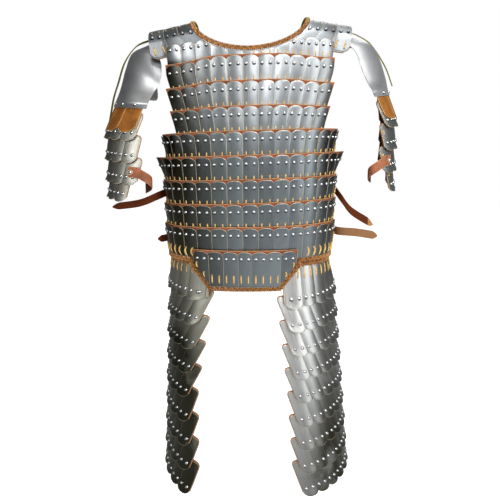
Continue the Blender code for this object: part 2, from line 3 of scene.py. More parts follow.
import bpy
import numpy as np
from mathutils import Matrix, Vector


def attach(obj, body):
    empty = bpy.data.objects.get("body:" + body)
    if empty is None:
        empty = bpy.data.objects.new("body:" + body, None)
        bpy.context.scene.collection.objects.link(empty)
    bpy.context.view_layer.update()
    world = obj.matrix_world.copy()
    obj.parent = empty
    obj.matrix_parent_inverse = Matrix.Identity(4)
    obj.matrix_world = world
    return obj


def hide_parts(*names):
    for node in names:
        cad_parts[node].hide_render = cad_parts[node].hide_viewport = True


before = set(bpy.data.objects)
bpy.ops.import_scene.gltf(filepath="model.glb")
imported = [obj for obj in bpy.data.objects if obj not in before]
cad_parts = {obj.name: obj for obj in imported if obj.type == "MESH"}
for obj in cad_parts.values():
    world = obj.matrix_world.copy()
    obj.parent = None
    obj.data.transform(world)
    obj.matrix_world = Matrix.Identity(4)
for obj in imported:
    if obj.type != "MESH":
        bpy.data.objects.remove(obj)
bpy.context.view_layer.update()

# The make of a row, as in the frame: a leather band and, riveted on it, steel plates
LEATHER = 0.003
PLATE = 0.0012
WALL = LEATHER + PLATE
CROWN = 0.0012
BAND_END = 0.003
GAP = 0.0003
STRAP = 0.0025
STEEL = 0.0015

# The torso's rows and its section, a superellipse: half widths at the middles of the rows named, half depth
ROW_PITCH = 0.053
ROW_HEIGHT = 0.067
FIRST_ROW_TOP = -0.046
SLOPE = (WALL + CROWN + 2 * GAP) / ROW_PITCH  # how fast a row leans out, so that rows lie on each other
HEM = -0.546  # bottom edge of the last full row
HALF_WIDTHS = {1: 0.236, 3: 0.205, 4: 0.196}
HALF_DEPTH = 0.124
ROUNDNESS = 2.3
SECTION_STEPS = 400
# Columns: plates, plate pitch, how far the front's ends flare at the top, how far its left and right ends sag
ROWS = (
    (11, 0.0332, 0.0, 0.005, 0.004),
    (11, 0.0335, 0.0, 0.011, 0.007),
    (11, 0.0328, 0.0, 0.008, 0.006),
    (11, 0.0314, 0.0, 0.004, 0.004),
    (15, 0.0343, 0.0, 0.0, 0.0),
    (15, 0.0343, 0.024, 0.0, 0.0),
    (15, 0.0343, 0.0070, 0.0, 0.0),
    (15, 0.0343, 0.0015, 0.0, 0.0),
    (15, 0.0343, 0.0005, 0.0, 0.0),
)
SAG_FROM = 0.060
SAG_TO = 0.160
FIRST_ROW_CUT = 0.015
FLARE_SHARE = 0.7
FLAP_PLATES = 7
FLAP_PITCH = 0.0325
FLAP_CENTRE = -0.0115
FLAP_CORNER = -0.556
FLAP_BOTTOM = -0.6095
FLAP_SLOPE_WIDTH = 0.040

# The neckline, the braid and the yokes
NECK_HALF_WIDTH = 0.128
# Columns: which way it faces, depth of the neckline, exponent of its curve
NECK_FRONT = (-1, 0.087, 2.0)
NECK_BACK = (1, 0.0945, 3.0)
BRAID = 0.0042
NECK_STEP = (0.050, 0.066)  # depths between which it goes from the yokes' edges to the first row's layer
NECK_STAND = (1.2, 2.1)
YOKE_OUTER = 0.230
YOKE_FRONT_OUTER = 0.219
YOKE_BACK_OUTER = 0.180
YOKE_STRAIGHT = 0.193
YOKE_TAPER = 0.15
YOKE_RIDGE = -0.012
YOKE_FALL = 0.12
YOKE_RISE = 0.038
YOKE_FRONT = -0.085
YOKE_BACK = -0.125
YOKE_PLATES = 3
YOKE_CORNER = 0.012
YOKE_PRESS = 0.0028
YOKE_NECK_HOLD = 0.86

# The slouch
SLOUCH = 0.033
SLOUCH_TOP = -0.42
SLOUCH_END = -0.54

# The arms' and legs' rows
RIVET_UP = 0.020
NOTCH = 0.012
LEG_TOP = HEM - 2 * GAP
LEG_INSET = 0.0034

# What the frame's walls stand for, made one by one here
BAND = 0.0026  # thickness of a leather band
SHEET = 0.0010  # thickness of a plate
PLATE_BASE = 0.0037  # outer face of a plate's covered edge, from the wearer's side of the band
PLATE_TILT = 0.0013  # how much higher its free edge is, which lies on its neighbour
PLATE_CROWN = 0.0018  # and how far its middle bulges
COVERED_CROWN = 0.0007  # the same where the next row covers it
PLATE_LAP = 0.0042  # how much wider a plate is than its pitch
PLATE_DROP = 0.0030  # leather showing above a plate's top
PLATE_INSET = 0.001  # leather showing below a plate
PLATE_UP = 0.0012  # the same below a round one
ARCH_WIDTH = 0.0160  # half-ellipse at a plate's corner
ARCH_HEIGHT = 0.0125
LIMB_ARCH_WIDTH = 0.0165  # the same for the rounder ends of the arms' and legs' plates
LIMB_CORNER = 0.013  # radius of a row's front upper corner
CORNER_STEPS = (0.3, 0.55, 0.85)  # places on it, as shares of the radius
BEVEL = 0.0005  # of a plate's rim
SHARP = np.radians(50)  # an edge that turns by more than this is sharp
COVER_FADE = 0.014  # height over which a plate's bulge fades where the next row starts to cover it
CUT = 0.0013  # width of the pale cut edge of leather
FIRST_BAND_DROP = 0.007  # the first row's leather ends this much below the row's top
DRAWN_SHARE = 0.85  # share of its rectangle that a leg's first band fills
RIVET_RADIUS = 0.0041
RIVET_HEIGHT = 0.0029
RIVET_SUNK = 0.0006  # how deep in its plate a rivet's head starts
RIVETS_ACROSS = (-0.45, 0.45)  # a plate's two rivets, as shares of its half width
RIVETS_DOWN = 0.020  # from a torso row's top to its rivets
FIRST_RIVETS_DOWN = 0.015
FIRST_RIVETS_FROM = 0.080  # the first row has none nearer to the middle
TIED_ROWS = (4, 6, 7, 8)  # laces show at the right ends of these
TIES_IN = 0.020  # from a row's end to its ties
TIES_UP = (0.016, 0.024, 0.032)
TIES_OUT = PLATE_BASE + 0.0026
HOOKS_FROM = 0.112  # the hem's curved laces start here
HOOK_UP = 0.015
HOOK_BOW = 0.0065
LEG_HOOKS_TO = 0.150  # how far round a leg's top they go
LEG_HOOKS_DOWN = 0.025  # from the top of a leg's first row
EDGE_LACE_ALONG = 0.0065  # from an arm row's front end
EDGE_LACE_DOWN = 0.008  # from where the row shows
EDGE_LACE_OUT = PLATE_BASE + 0.001
STITCH_UP = 0.0035  # stitches above the next row's top
STITCH_SUNK = 0.0006
LACE_SUNK = 0.0008
# Laces: width, length, height over the steel and, but for the hooks, how far the middle bows sideways
STITCH = (0.0030, 0.0090, 0.0013, 0.0)
TIE = (0.0085, 0.0085, 0.0022, 0.0)
HOOK = (0.0046, 0.025, 0.0018)
LEG_HOOK = (0.0038, 0.021, 0.0015)
EDGE_LACE = (0.0034, 0.011, 0.0014, 0.0)
YOKE_STITCH = (0.022, 0.006, 0.0014, 0.0)
YOKE_LACE = (0.028, 0.019, 0.0014, 0.0)
LEG_FRONTS = {"left": 0.015, "right": 0.006}  # how much wider a leg's first plate is under the flap
SWITCHES = {11: 7, 15: 9}  # which plate of a front row lies over both its neighbours, by their number
FLAP_SWITCH = 4
FLAP_PLATE_UP = 0.0008
FLAP_LACES_UP = (0.013, 0.019)  # where the flap's edge slopes, and where it is level
FLAP_LACES_LONG = (0.015, 0.022)
FLAP_LACES_BOW = 0.003
FLAP_LACE = (0.0032, 0.0014)  # width and height
YOKE_WIDTH = 0.10
YOKE_PLATE_WIDTH = 0.034
YOKE_TOP = 0.004  # from the ridge to the plates
YOKE_ARCH = 0.6 * ARCH_HEIGHT
YOKE_CORNER_FROM = 0.88  # share of a yoke's width where its rounded corner starts
YOKE_RIVETS = (0.099, 0.088)  # down the saddle from its ridge, at its inner and outer edges
YOKE_RIVET_PITCH = 0.332
YOKE_STITCHES = 0.073
YOKE_LACES_UP = 0.017
YOKE_MIDDLE = 0.185  # from the armour's middle
YOKE_HANG = 0.12  # more than it hangs below its rounded top
PLAIT_PERIOD = 0.0125
PLAIT_STEP = 0.0018
PLAIT_SWING = 0.0026
PLAIT_LIFT = 0.0011
STRAND = (0.0017, 0.0015)  # half width and half thickness
NECK_PLAIT = 1.3  # size beside that of these strands
HEM_PLAIT = 1.6
LEG_PLAIT = 1.2
LEG_PLAIT_FROM = 0.004
LEG_PLAIT_DOWN = 0.011
LEG_PLAIT_OUT = 0.0062
FACING_STEP = 0.002  # from a braid's path to the line that says which way it faces
HEM_TURN = (2.4, 1.3, 0.45, 0.7)  # the hem braid's corners at the flap, in widths of clear room


@dataclass
class Limb:
    """The rows of one arm or leg, on a cone. Pairs are values at the first and last rivets, and the start has
    one between."""

    side: int
    rows: int
    plates: int
    plate_pitch: float
    height: float
    pitch: float
    first: float
    centre_x: tuple
    centre_y: float
    radius: tuple
    start: tuple
    climb: tuple
    slant: float
    pinch: float
    last_raise: float = 0.0
    last_shrink: float = 0.0
    last_start: float = 0.0
    last_plates: int = 0
    lip: float = 0.005
    level: float = 0.0


ARMS = {
    "left": Limb(-1, 4, 5, 0.033, 0.067, 0.051, -0.254, (0.226, 0.226), 0.045, (0.121, 0.121), (14, 14, 14),
                 (6, 6), 14, 0.016, 0.010, 0.0015, 0.030, 3),
    "right": Limb(1, 4, 5, 0.033, 0.067, 0.053, -0.243, (0.231, 0.231), 0.045, (0.121, 0.121), (38, 38, 38),
                  (6, 6), 14, 0.014, 0.004, 0.0007, 0.030, 3),
}
LEGS = {
    "left": Limb(-1, 9, 7, 0.034, 0.091, 0.0600, -0.626, (0.053, 0.046), 0.040, (0.141, 0.165),
                 (20, 35.5, 34), (2, 9), 19, 0.0, level=0.11),
    "right": Limb(1, 9, 7, 0.034, 0.089, 0.0572, -0.641, (0.053, 0.062), 0.044, (0.152, 0.183),
                  (9, 15.5, 18), (2, -1), 16, 0.0, level=0.11),
}

# The spaulders' arcs and the straps' routes, as in the frame. Columns: how far out the outer ridge is on the
# left arm and on the right arm, its height, degrees that the section leans, radius and centre depth of its
# arc, and the arc's front and back ends on the left arm and on the right arm
SPAULDER = (
    (0.213, 0.213, -0.0360, 40, 0.050, 0.005, 30, 140, 30, 135),
    (0.239, 0.240, -0.0460, 34, 0.060, 0.008, 28, 145, 30, 135),
    (0.279, 0.2865, -0.0630, 28, 0.080, 0.014, -7, 150, 18, 112),
    (0.298, 0.311, -0.0990, 24, 0.107, 0.022, 0, 152, 21, 112),
    (0.314, 0.329, -0.1400, 17, 0.115, 0.034, 7, 154, 25, 118),
)
SPAULDER_LENGTH = {"left": 0.290, "right": 0.195}  # round the arm, at its bottom
SPAULDER_LAST = (-0.070, -0.056)  # its last two arcs, below the first row's rivets
SPAULDER_LAST_FROM = -0.004  # where they start, from the first row's front end
ARC_POINTS = 13
SPAULDER_RIVETS = {"left": (0.031, 0.076, 0.123), "right": (0.036, 0.100, 0.160)}
SPAULDER_RIVETS_UP = 0.008  # from its lower edge
SPAULDER_RIVET_SIZE = 0.8
SPAULDER_GRID = (49, 61)
SPAULDER_CUT = (0.25, 0.2)  # its pattern's size
SPAULDER_SHARP = np.radians(40)
# Points (distance out, height) down each arm strap, from under the yoke
ARM_STRAPS = {
    "left": ((0.2080, -0.0262), (0.2220, -0.0294), (0.2385, -0.0352), (0.2710, -0.0470), (0.3020, -0.0810),
             (0.3230, -0.1280), (0.3370, -0.1600), (0.3480, -0.1960), (0.3560, -0.2330)),
    "right": ((0.2080, -0.0282), (0.2220, -0.0304), (0.2400, -0.0342), (0.2620, -0.0430), (0.2900, -0.0618),
              (0.3280, -0.1100), (0.3510, -0.1560)),
}
ARM_STRAP_TURN = {"left": (-0.42, 0.91, 0), "right": (0.3, 0.93, 0.18)}  # which way its width points
ARM_STRAP_WIDTH = 0.022
STRAP_ACROSS = (-1, -0.88, -0.5, 0, 0.5, 0.88, 1)  # lines along a strap, as shares of half its width
STRAP_EDGE = 0.35  # share of its thickness that it loses at its edges
ARM_STRAP_END = 0.7  # width at the end of a strap, as a share
SIDE_STRAP_END = 0.2
SIDE_STRAP_POINT = 0.75  # share of its last stretch where a strap starts to narrow
STRAP_TIP = 0.8  # share of its length past which a strap's tip is pale
ARM_STRAP_BACK = ((0.03, 0.20), 0.002)  # how far down it starts and ends going back, and from which y
ELBOW_LOBES = 3
ELBOW_LOBE = 0.050
ELBOW_START = 0.006
ELBOW_NOTCH = 0.013
ELBOW_GROOVE = 0.0012
ELBOW_LINES = (0.03, 0.05)  # widths of the pale seam and of the groove, as shares of a lobe
ELBOW_EDGES = (-0.062, -0.001)  # the elbow flap's top and bottom, below the first row's rivets
# The side straps: the row and the height they start at, then points (x, y, height) along the free part
SIDE_STRAPS = {
    "left_upper": (6, -0.398, ((-0.226, -0.012, -0.405), (-0.269, -0.016, -0.421), (-0.342, 0.0, -0.431))),
    "left_lower": (8, -0.519, ((-0.222, 0.004, -0.5205), (-0.232, 0.004, -0.5213))),
    "right_upper": (6, -0.398, ((0.224, -0.010, -0.425), (0.249, -0.012, -0.455), (0.3065, 0.0, -0.490))),
    "right_lower": (8, -0.502, ((0.222, -0.008, -0.503), (0.262, -0.010, -0.506), (0.319, 0.0, -0.516))),
}
SIDE_STRAP_WIDTH = 0.019
SIDE_STRAP_ROOT = (76.0, 84.0)  # angles of the section at the torso's side
WRIST_ROW = 2
WRIST_WIDTH = 0.025
WRIST_START = 0.024
WRIST_DOWN = -0.012
WRIST_REACH = 0.023
WRIST_DEPTH = 0.034
WRIST_DROP = 0.038
WRIST_RIVET = WRIST_START - 0.006
# How far out they start, and their sizes beside those of a row's rivet
WASHER_SIZE = (0.0004, 1.6, 0.5)
WRIST_RIVET_SIZE = (0.0014, 0.9)


# Meshes

def lattice(index):
    """Quads between the neighbours in stacks of grids of point numbers, (..., rows, columns)."""
    a, b = index[..., :-1, :-1], index[..., :-1, 1:]
    c, d = index[..., 1:, 1:], index[..., 1:, :-1]
    return np.stack([a, b, c, d], -1).reshape(-1, 4)


def border(index):
    """The point numbers round each grid's edge, in order and back to the first."""
    sides = [index[..., 0, :], index[..., 1:, -1], index[..., -1, -2::-1], index[..., -2::-1, 0]]
    return np.concatenate(sides, -1)


def shell(inner, outer):
    """Points and quads of closed walls between two stacks of grids: both grids, and quads round their
    edges. Faces point from the inner grid to the outer one."""
    points = np.stack([inner, outer])
    index = np.arange(points[..., 0].size).reshape(points.shape[:-1])
    low, high = border(index[0]), border(index[1])
    sides = np.stack([high[..., 1:], high[..., :-1], low[..., :-1], low[..., 1:]], -1).reshape(-1, 4)
    faces = np.concatenate([lattice(index[0])[:, ::-1], lattice(index[1]), sides])
    middle = tuple(np.array(outer.shape[-3:-1]) // 2)
    across = np.diff(outer, axis=-2)[..., middle[0], middle[1] - 1, :].reshape(-1, 3)[0]
    down = np.diff(outer, axis=-3)[..., middle[0] - 1, middle[1], :].reshape(-1, 3)[0]
    out = (outer - inner)[..., middle[0], middle[1], :].reshape(-1, 3)[0]
    if np.cross(across, down) @ out < 0:
        faces = faces[:, ::-1]
    return points.reshape(-1, 3), faces


def piece(name, points, faces, material, node=None, uv=None, **values):
    """One object from arrays of points and quads, with a UV pair and named values at its points. It may
    stand for a node of the frame."""
    mesh = bpy.data.meshes.new(name)
    mesh.vertices.add(len(points))
    mesh.vertices.foreach_set("co", np.ascontiguousarray(points, np.float32).ravel())
    mesh.loops.add(faces.size)
    mesh.loops.foreach_set("vertex_index", faces.astype(np.int32).ravel())
    mesh.polygons.add(len(faces))
    mesh.polygons.foreach_set("loop_start", np.arange(0, faces.size, faces.shape[1], dtype=np.int32))
    mesh.update(calc_edges=True)
    if uv is not None:
        layer = mesh.uv_layers.new(name="UVMap")
        layer.data.foreach_set("uv", uv.reshape(-1, 2)[faces.ravel()].astype(np.float32).ravel())
    for key, value in values.items():
        attribute = mesh.attributes.new(key, "FLOAT", "POINT")
        attribute.data.foreach_set("value", np.ascontiguousarray(value, np.float32).ravel())
    mesh.polygons.foreach_set("use_smooth", np.full(len(faces), True))
    mesh.set_sharp_from_angle(angle=SHARP)
    mesh.materials.append(material)
    obj = bpy.data.objects.new(name, mesh)
    bpy.context.scene.collection.objects.link(obj)
    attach(obj, "root")
    SLOTS.get(material.name, "plates")
    if node:
        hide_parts(node)
    return obj


def twice(array):
    """A grid's values for both faces of its shell."""
    return np.stack([array, array])


def spline(points, count):
    """Points on a smooth curve through rows of points: each stretch is a cubic whose slopes at its ends
    point along the chord between the neighbours on both sides."""
    points = np.asarray(points, float)
    slope = np.gradient(points, axis=0)
    place = np.linspace(0, len(points) - 1, count)
    start = np.minimum(place.astype(int), len(points) - 2)
    t = (place - start).reshape(-1, *[1] * (points.ndim - 1))
    a, b = points[start], points[start + 1]
    u, v = slope[start], slope[start + 1]
    return ((2 * t**3 - 3 * t**2 + 1) * a + (t**3 - 2 * t**2 + t) * u
            + (3 * t**2 - 2 * t**3) * b + (t**3 - t**2) * v)


def unit(vectors):
    """Each vector over its length."""
    return vectors / np.linalg.norm(vectors, axis=-1, keepdims=True)


def slouched(points):
    """Points with the slouch: height changes with x, above the hem only. The yokes' ridges are at the
    origin's height."""
    share = np.clip((points[..., 2] - SLOUCH_END) / (SLOUCH_TOP - SLOUCH_END), 0, 1)
    moved = points.copy()
    moved[..., 2] += SLOUCH * share * points[..., 0] - YOKE_RIDGE
    return moved


# Surfaces of the frame. Each is a function that gives the point at a distance along a row, a height up
# from its bottom or from its rivets, and a distance out from the side that faces the wearer

def row_top(i):
    """Height of a torso row's top: the rows follow each other at an even pitch."""
    return FIRST_ROW_TOP - i * ROW_PITCH


def row_middle(i):
    """Height halfway up a torso row."""
    return row_top(i) - ROW_HEIGHT / 2


def half_width(z):
    """The torso's half width at a height, in straight lines between the middles of the rows named."""
    heights = [-row_middle(i) for i in HALF_WIDTHS]
    return np.interp(-z, heights, list(HALF_WIDTHS.values()))


def section(angle, z, offset, facing):
    """Points of the torso's superellipse, moved out. The angle runs from the middle to the sides."""
    width, depth = half_width(z), HALF_DEPTH
    power = 2 / ROUNDNESS
    x = width * np.sign(np.sin(angle)) * np.abs(np.sin(angle)) ** power
    y = depth * np.abs(np.cos(angle)) ** power
    normal_x = np.sign(x) * np.abs(x / width) ** (ROUNDNESS - 1) / width
    normal_y = (y / depth) ** (ROUNDNESS - 1) / depth
    size = np.hypot(normal_x, normal_y)
    return np.stack([x + offset * normal_x / size, facing * (y + offset * normal_y / size), z + 0 * x], -1)


def angles_at(along, z):
    """Section angles at distances along the section from its middle."""
    angle = np.linspace(0, np.pi / 2, SECTION_STEPS)
    points = section(angle, np.full_like(angle, z), 0.0, -1)
    length = np.concatenate([[0], np.cumsum(np.linalg.norm(np.diff(points, axis=0), axis=1))])
    return np.sign(along) * np.interp(np.abs(along), length, angle)


def arc_length(angle, z):
    """Length along the section from its middle to an angle."""
    points = section(np.linspace(0, angle, SECTION_STEPS), np.full(SECTION_STEPS, z), 0.0, -1)
    return np.linalg.norm(np.diff(points, axis=0), axis=1).sum()


def torso_face(i, facing):
    """A torso row's surface: the section at the row's middle, leaning out toward the top. A sagging end
    slides down along it."""
    plates, pitch, flare, *sags = ROWS[i]
    half = plates * pitch / 2 + BAND_END

    def face(along, up, out):
        along, up, out = np.broadcast_arrays(along, up, out)
        angle = angles_at(along, row_middle(i))
        share = np.clip((np.abs(along) / half - FLARE_SHARE) / (1 - FLARE_SHARE), 0, 1)
        hang = np.clip((np.abs(along) - SAG_FROM) / (SAG_TO - SAG_FROM), 0, 1)
        up = up - (facing < 0) * np.where(along < 0, *sags) * hang**2 * (3 - 2 * hang)
        flared = (facing < 0) * flare * share**2 * up / ROW_HEIGHT
        return slouched(section(angle, row_top(i) - ROW_HEIGHT + up, SLOPE * up + flared + out, facing))

    return face


def flap_points(along, up, out):
    """Points of the flap, which hangs a little to the side of the middle."""
    along, up, out = np.broadcast_arrays(along, up, out)
    angle = angles_at(along + FLAP_CENTRE, FLAP_CORNER)
    return section(angle, FLAP_BOTTOM + up, SLOPE * up + out, -1)


def flap_face(along, up, out):
    """The flap's surface."""
    return slouched(flap_points(along, up, out))


def flap_half_width():
    """Half of the flap's plates and the leather past them."""
    return FLAP_PLATES * FLAP_PITCH / 2 + BAND_END


def flap_low(along):
    """The flap's bottom edge, up from its lowest: level in the middle, its two sides sloping up."""
    share = (np.abs(along) - flap_half_width() + FLAP_SLOPE_WIDTH) / FLAP_SLOPE_WIDTH
    return (FLAP_CORNER - FLAP_BOTTOM) * np.clip(share, 0, 1)


def limb_points(limb, row, along, down, offset):
    """Points of a limb's cone, as in the frame."""
    climb = np.radians(np.interp(row, (0, limb.rows - 1), limb.climb))
    slant = np.radians(limb.slant)
    last = row == limb.rows - 1
    along = along + limb.last_start * last
    z = limb.first - row * limb.pitch + (along - limb.level) * np.sin(climb) - down * np.cos(slant)
    share = (limb.first - z) / ((limb.rows - 1) * limb.pitch)
    z = z + limb.last_raise * last
    radius = limb.radius[0] + (limb.radius[1] - limb.radius[0]) * share - limb.last_shrink * last
    start = np.radians(np.interp(share, (0, 0.5, 1), limb.start))
    centre = limb.centre_x[0] + (limb.centre_x[1] - limb.centre_x[0]) * share
    angle = start + (along * np.cos(climb) + down * np.sin(slant)) / radius
    x = centre + (radius + offset) * np.sin(angle)
    y = limb.centre_y - (radius + offset) * np.cos(angle)
    return np.stack([limb.side * x, y, z], -1)


def lean(limb, row, down):
    """How far a limb's row stands out at a distance below its rivets."""
    share = (down - RIVET_UP) / limb.height + 1
    overlap = limb.pitch / limb.height
    lip = np.clip((share - overlap) / (1 - overlap), 0, None)
    pinch = limb.pinch * np.clip(1 - share / overlap, 0, None) * (row == 0)
    return (WALL + CROWN + 2 * GAP) * share / overlap + limb.lip * lip**2 - pinch


def on_row(limb, row, along, down, above=0.0):
    """Points on a limb row's outer face, or above it."""
    return limb_points(limb, row, along, down, lean(limb, row, down) + WALL + CROWN + GAP + above)


def hem_points(limb, along, offset):
    """Points inside the torso's hem, going round from a leg row's front end past the torso's side."""
    quarter = arc_length(np.radians(90), LEG_TOP)
    first = limb_points(limb, 0, 0.0, 0.0, 0.0)
    past = along + arc_length(np.arcsin((abs(first[0]) / half_width(LEG_TOP)) ** (ROUNDNESS / 2)), LEG_TOP)
    angle = angles_at(np.minimum(past, 2 * quarter - past), LEG_TOP)
    points = section(angle, np.full_like(angle, LEG_TOP), offset, -1)
    turned = np.where(past > quarter, -1, 1)
    return points * np.stack([np.full_like(angle, limb.side), turned, np.ones_like(angle)], -1)


def limb_face(limb, row, hem=False):
    """A limb row's surface, up from its rivets. A leg's first row is drawn to the torso's hem."""
    overlap = limb.height - RIVET_UP - limb.pitch
    top = limb.height - RIVET_UP

    def face(along, up, out):
        along, up, out = np.broadcast_arrays(along, up, out)
        if not hem:
            return slouched(limb_points(limb, row, along, -up, lean(limb, row, -up) + out))
        held = np.minimum(up, -overlap)
        low = limb_points(limb, row, along, -held, lean(limb, row, -held) + out)
        high = hem_points(limb, along, out - LEG_INSET - WALL - CROWN)
        share = np.clip((up + overlap) / (top + overlap), 0, 1)[..., None]
        return slouched(low + (high - low) * share)

    return face


def depth_at(x):
    """Depth of the chest's section at a distance from the middle."""
    return HALF_DEPTH * (1 - (np.abs(x) / half_width(0)) ** ROUNDNESS) ** (1 / ROUNDNESS)


def yoke_depth(x):
    """The same, but going straight where the yoke stands off the chest's side."""
    past = np.clip(np.abs(x) - YOKE_STRAIGHT, 0, None)
    return depth_at(np.minimum(np.abs(x), YOKE_STRAIGHT)) - YOKE_TAPER * past


def neck_height(x, depth, power):
    """Height of a neckline at a distance from the middle: half a superellipse that hangs from the ridge."""
    inside = np.clip(1 - (np.abs(x) / NECK_HALF_WIDTH) ** power, 0, 1)
    return YOKE_RIDGE - (depth + YOKE_RIDGE) * inside ** (1 / power)


def neck_width(z, depth, power):
    """The same the other way round: a neckline's half width at a height."""
    share = np.clip((YOKE_RIDGE - z) / (depth + YOKE_RIDGE), 0, 1)
    return NECK_HALF_WIDTH * (1 - share**power) ** (1 / power)


def clear_of(curve, at, *shape):
    """How far to move along an axis from a neckline's point, so as to clear the braid on it."""
    step = 1e-4
    slope = (curve(at + step, *shape) - curve(at - step, *shape)) / (2 * step)
    return (BRAID + 2 * GAP) * np.hypot(1, np.clip(slope, -3, 3))


def neck_edge(x):
    """Top edge of the first front row where it is cut out under the neck braid."""
    shape = NECK_FRONT[1:]
    return neck_height(x, *shape) - clear_of(neck_height, x, *shape)


def cape(x, place, facing, offset):
    """Points of the yokes' saddle. Place is 0 on the ridge, 1 where the rounded top ends and more below,
    in metres past 1."""
    fall = YOKE_FALL * np.clip(np.abs(x) - NECK_HALF_WIDTH, 0, None)
    turn = np.clip(place, 0, 1) * np.pi / 2
    below = np.clip(place - 1, 0, None)
    y = (yoke_depth(x) + offset) * np.sin(turn)
    z = YOKE_RIDGE + (YOKE_RISE + offset) * np.cos(turn) - YOKE_RISE - fall - below
    return np.stack([x, facing * y, z], -1)


def yoke_edges(place, neck, low, outer):
    """Distances from the middle to a yoke's inner and outer edges."""
    _, *shape = neck
    rounded = YOKE_RISE * (np.cos(np.minimum(place, 1) * np.pi / 2) - 1)
    z = YOKE_RIDGE + rounded - np.clip(place - 1, 0, None)
    held = np.maximum(z, -YOKE_NECK_HOLD * shape[0])
    inner = neck_width(held, *shape) + clear_of(neck_width, held, *shape)
    return inner, np.interp(-z, (-YOKE_RIDGE, -low), (YOKE_OUTER, outer))


def saddle_length(facing):
    """Places from the ridge down and how long the saddle is to each, by its middle."""
    place = np.concatenate([np.linspace(0, 1, 60), 1 + np.linspace(0, YOKE_HANG, 30)[1:]])
    points = cape(np.full_like(place, YOKE_MIDDLE), place, facing, 0.0)
    steps = np.linalg.norm(np.diff(points, axis=0), axis=1)
    return place, np.concatenate([[0], np.cumsum(steps)])


def yoke_face(side, facing):
    """One side of a yoke's surface: along is the share from its inner to its outer edge, up the distance
    from the ridge, negative on the way down."""
    neck, low, end = (NECK_FRONT, YOKE_FRONT, YOKE_FRONT_OUTER) if facing < 0 else \
        (NECK_BACK, YOKE_BACK, YOKE_BACK_OUTER)
    place_table, length_table = saddle_length(facing)
    straight = 1 + YOKE_RIDGE - YOKE_RISE

    def face(along, up, out):
        along, up, out = np.broadcast_arrays(along, up, out)
        place = np.interp(-up, length_table, place_table)
        inner, outer = yoke_edges(place, neck, low, end)
        press = np.interp(place, (1.0, straight - YOKE_FRONT), (0, -YOKE_PRESS)) * (facing < 0)
        return slouched(cape(inner + (outer - inner) * along, place, facing, press + out) * (side, 1, 1))

    return face, np.interp(straight - low, place_table, length_table)


# Finishes

class Value:
    """A number on a node's socket. Python's operators on it add Math nodes."""

    def __init__(self, finish, socket):
        self.finish, self.socket = finish, socket

    def math(self, operation, *others):
        """A Math node on this value and others."""
        return self.finish.node("ShaderNodeMath", {"operation": operation}, dict(enumerate((self, *others))))

    def __add__(self, other):
        return self.math("ADD", other)

    def __mul__(self, other):
        return self.math("MULTIPLY", other)

    def __sub__(self, other):
        return self.math("SUBTRACT", other)

    def __rsub__(self, other):
        return (self * -1) + other

    __radd__ = __add__
    __rmul__ = __mul__

    def rise(self, low, high):
        """0 below one number and 1 above another, and a soft step between them."""
        settings = {"interpolation_type": "SMOOTHSTEP"}
        return self.finish.node("ShaderNodeMapRange", settings, {0: self, 1: low, 2: high, 3: 0.0, 4: 1.0})


class Finish:
    """A material's nodes, or the world's."""

    def __init__(self, name, block=None):
        self.material = block or bpy.data.materials.new(name)
        self.material.use_nodes = True
        self.tree = self.material.node_tree
        self.shader = self.tree.nodes["Background" if block else "Principled BSDF"]

    def put(self, socket, value):
        """Sets a socket to a value, or links it to one."""
        if isinstance(value, Value):
            self.tree.links.new(value.socket, socket)
        elif isinstance(value, tuple) and socket.type == "RGBA":
            socket.default_value = (*value, 1.0)[:4]
        else:
            socket.default_value = value

    def node(self, kind, settings=None, inputs=None, output=0):
        """A node of a kind: its settings first, then its sockets' values or links. Gives one output."""
        node = self.tree.nodes.new(kind)
        for key, value in (settings or {}).items():
            setattr(node, key, value)
        for key, value in (inputs or {}).items():
            self.put(node.inputs[key], value)
        return Value(self, node.outputs[output])

    def attribute(self, name):
        """A named value at the piece's points."""
        return self.node("ShaderNodeAttribute", {"attribute_name": name}, output="Fac")

    def mix(self, factor, a, b):
        """A colour that goes from one to another by a factor."""
        return self.node("ShaderNodeMix", {"data_type": "RGBA"}, {0: factor, 6: a, 7: b}, output=2)

    def place(self, axis):
        """A coordinate of the surface's point, in metres."""
        point = self.node("ShaderNodeTexCoord", output="Object")
        return self.node("ShaderNodeSeparateXYZ", None, {0: point}, axis)

    def noise(self, scale, detail=3.0, vector=None, rough=0.55):
        """Clouds of noise on the object's own coordinates, or on others."""
        where = vector or self.node("ShaderNodeTexCoord", output="Object")
        inputs = {"Vector": where, "Scale": scale, "Detail": detail, "Roughness": rough}
        return self.node("ShaderNodeTexNoise", None, inputs)

    def stretched(self, scale, shift=None):
        """The piece's own UV, scaled unevenly, and moved on each plate by a value."""
        uv = self.node("ShaderNodeTexCoord", output="UV")
        moved = uv
        if shift is not None:
            offset = self.node("ShaderNodeCombineXYZ", None, {0: shift, 1: shift * 0.7})
            moved = self.node("ShaderNodeVectorMath", {"operation": "ADD"}, {0: uv, 1: offset})
        return self.node("ShaderNodeVectorMath", {"operation": "MULTIPLY"}, {0: moved, 1: (*scale, 1.0)})

    def bump(self, height, distance, strength=1.0):
        """A normal that follows a height."""
        inputs = {"Height": height, "Distance": distance, "Strength": strength}
        return self.node("ShaderNodeBump", None, inputs)

    def done(self, **values):
        """Values or links on the surface's own sockets."""
        for key, value in values.items():
            self.put(self.shader.inputs[key.replace("_", " ").title()], value)
        return self.material


def torso_painted_shade(x, z):
    """Painted shade on the torso's steel: slate lower down, and dark toward both sides and most on the left.
    The first row stays bright."""
    level = z - x * SLOUCH
    left = 1 - x.rise(-0.23, 0.03)
    right = x.rise(0.12, 0.21)
    low = 1 - level.rise(-0.36, -0.12)
    return low, (left * 1.1 + right * 0.65 + low * 0.12) * (1 - level.rise(-0.098, -0.080))


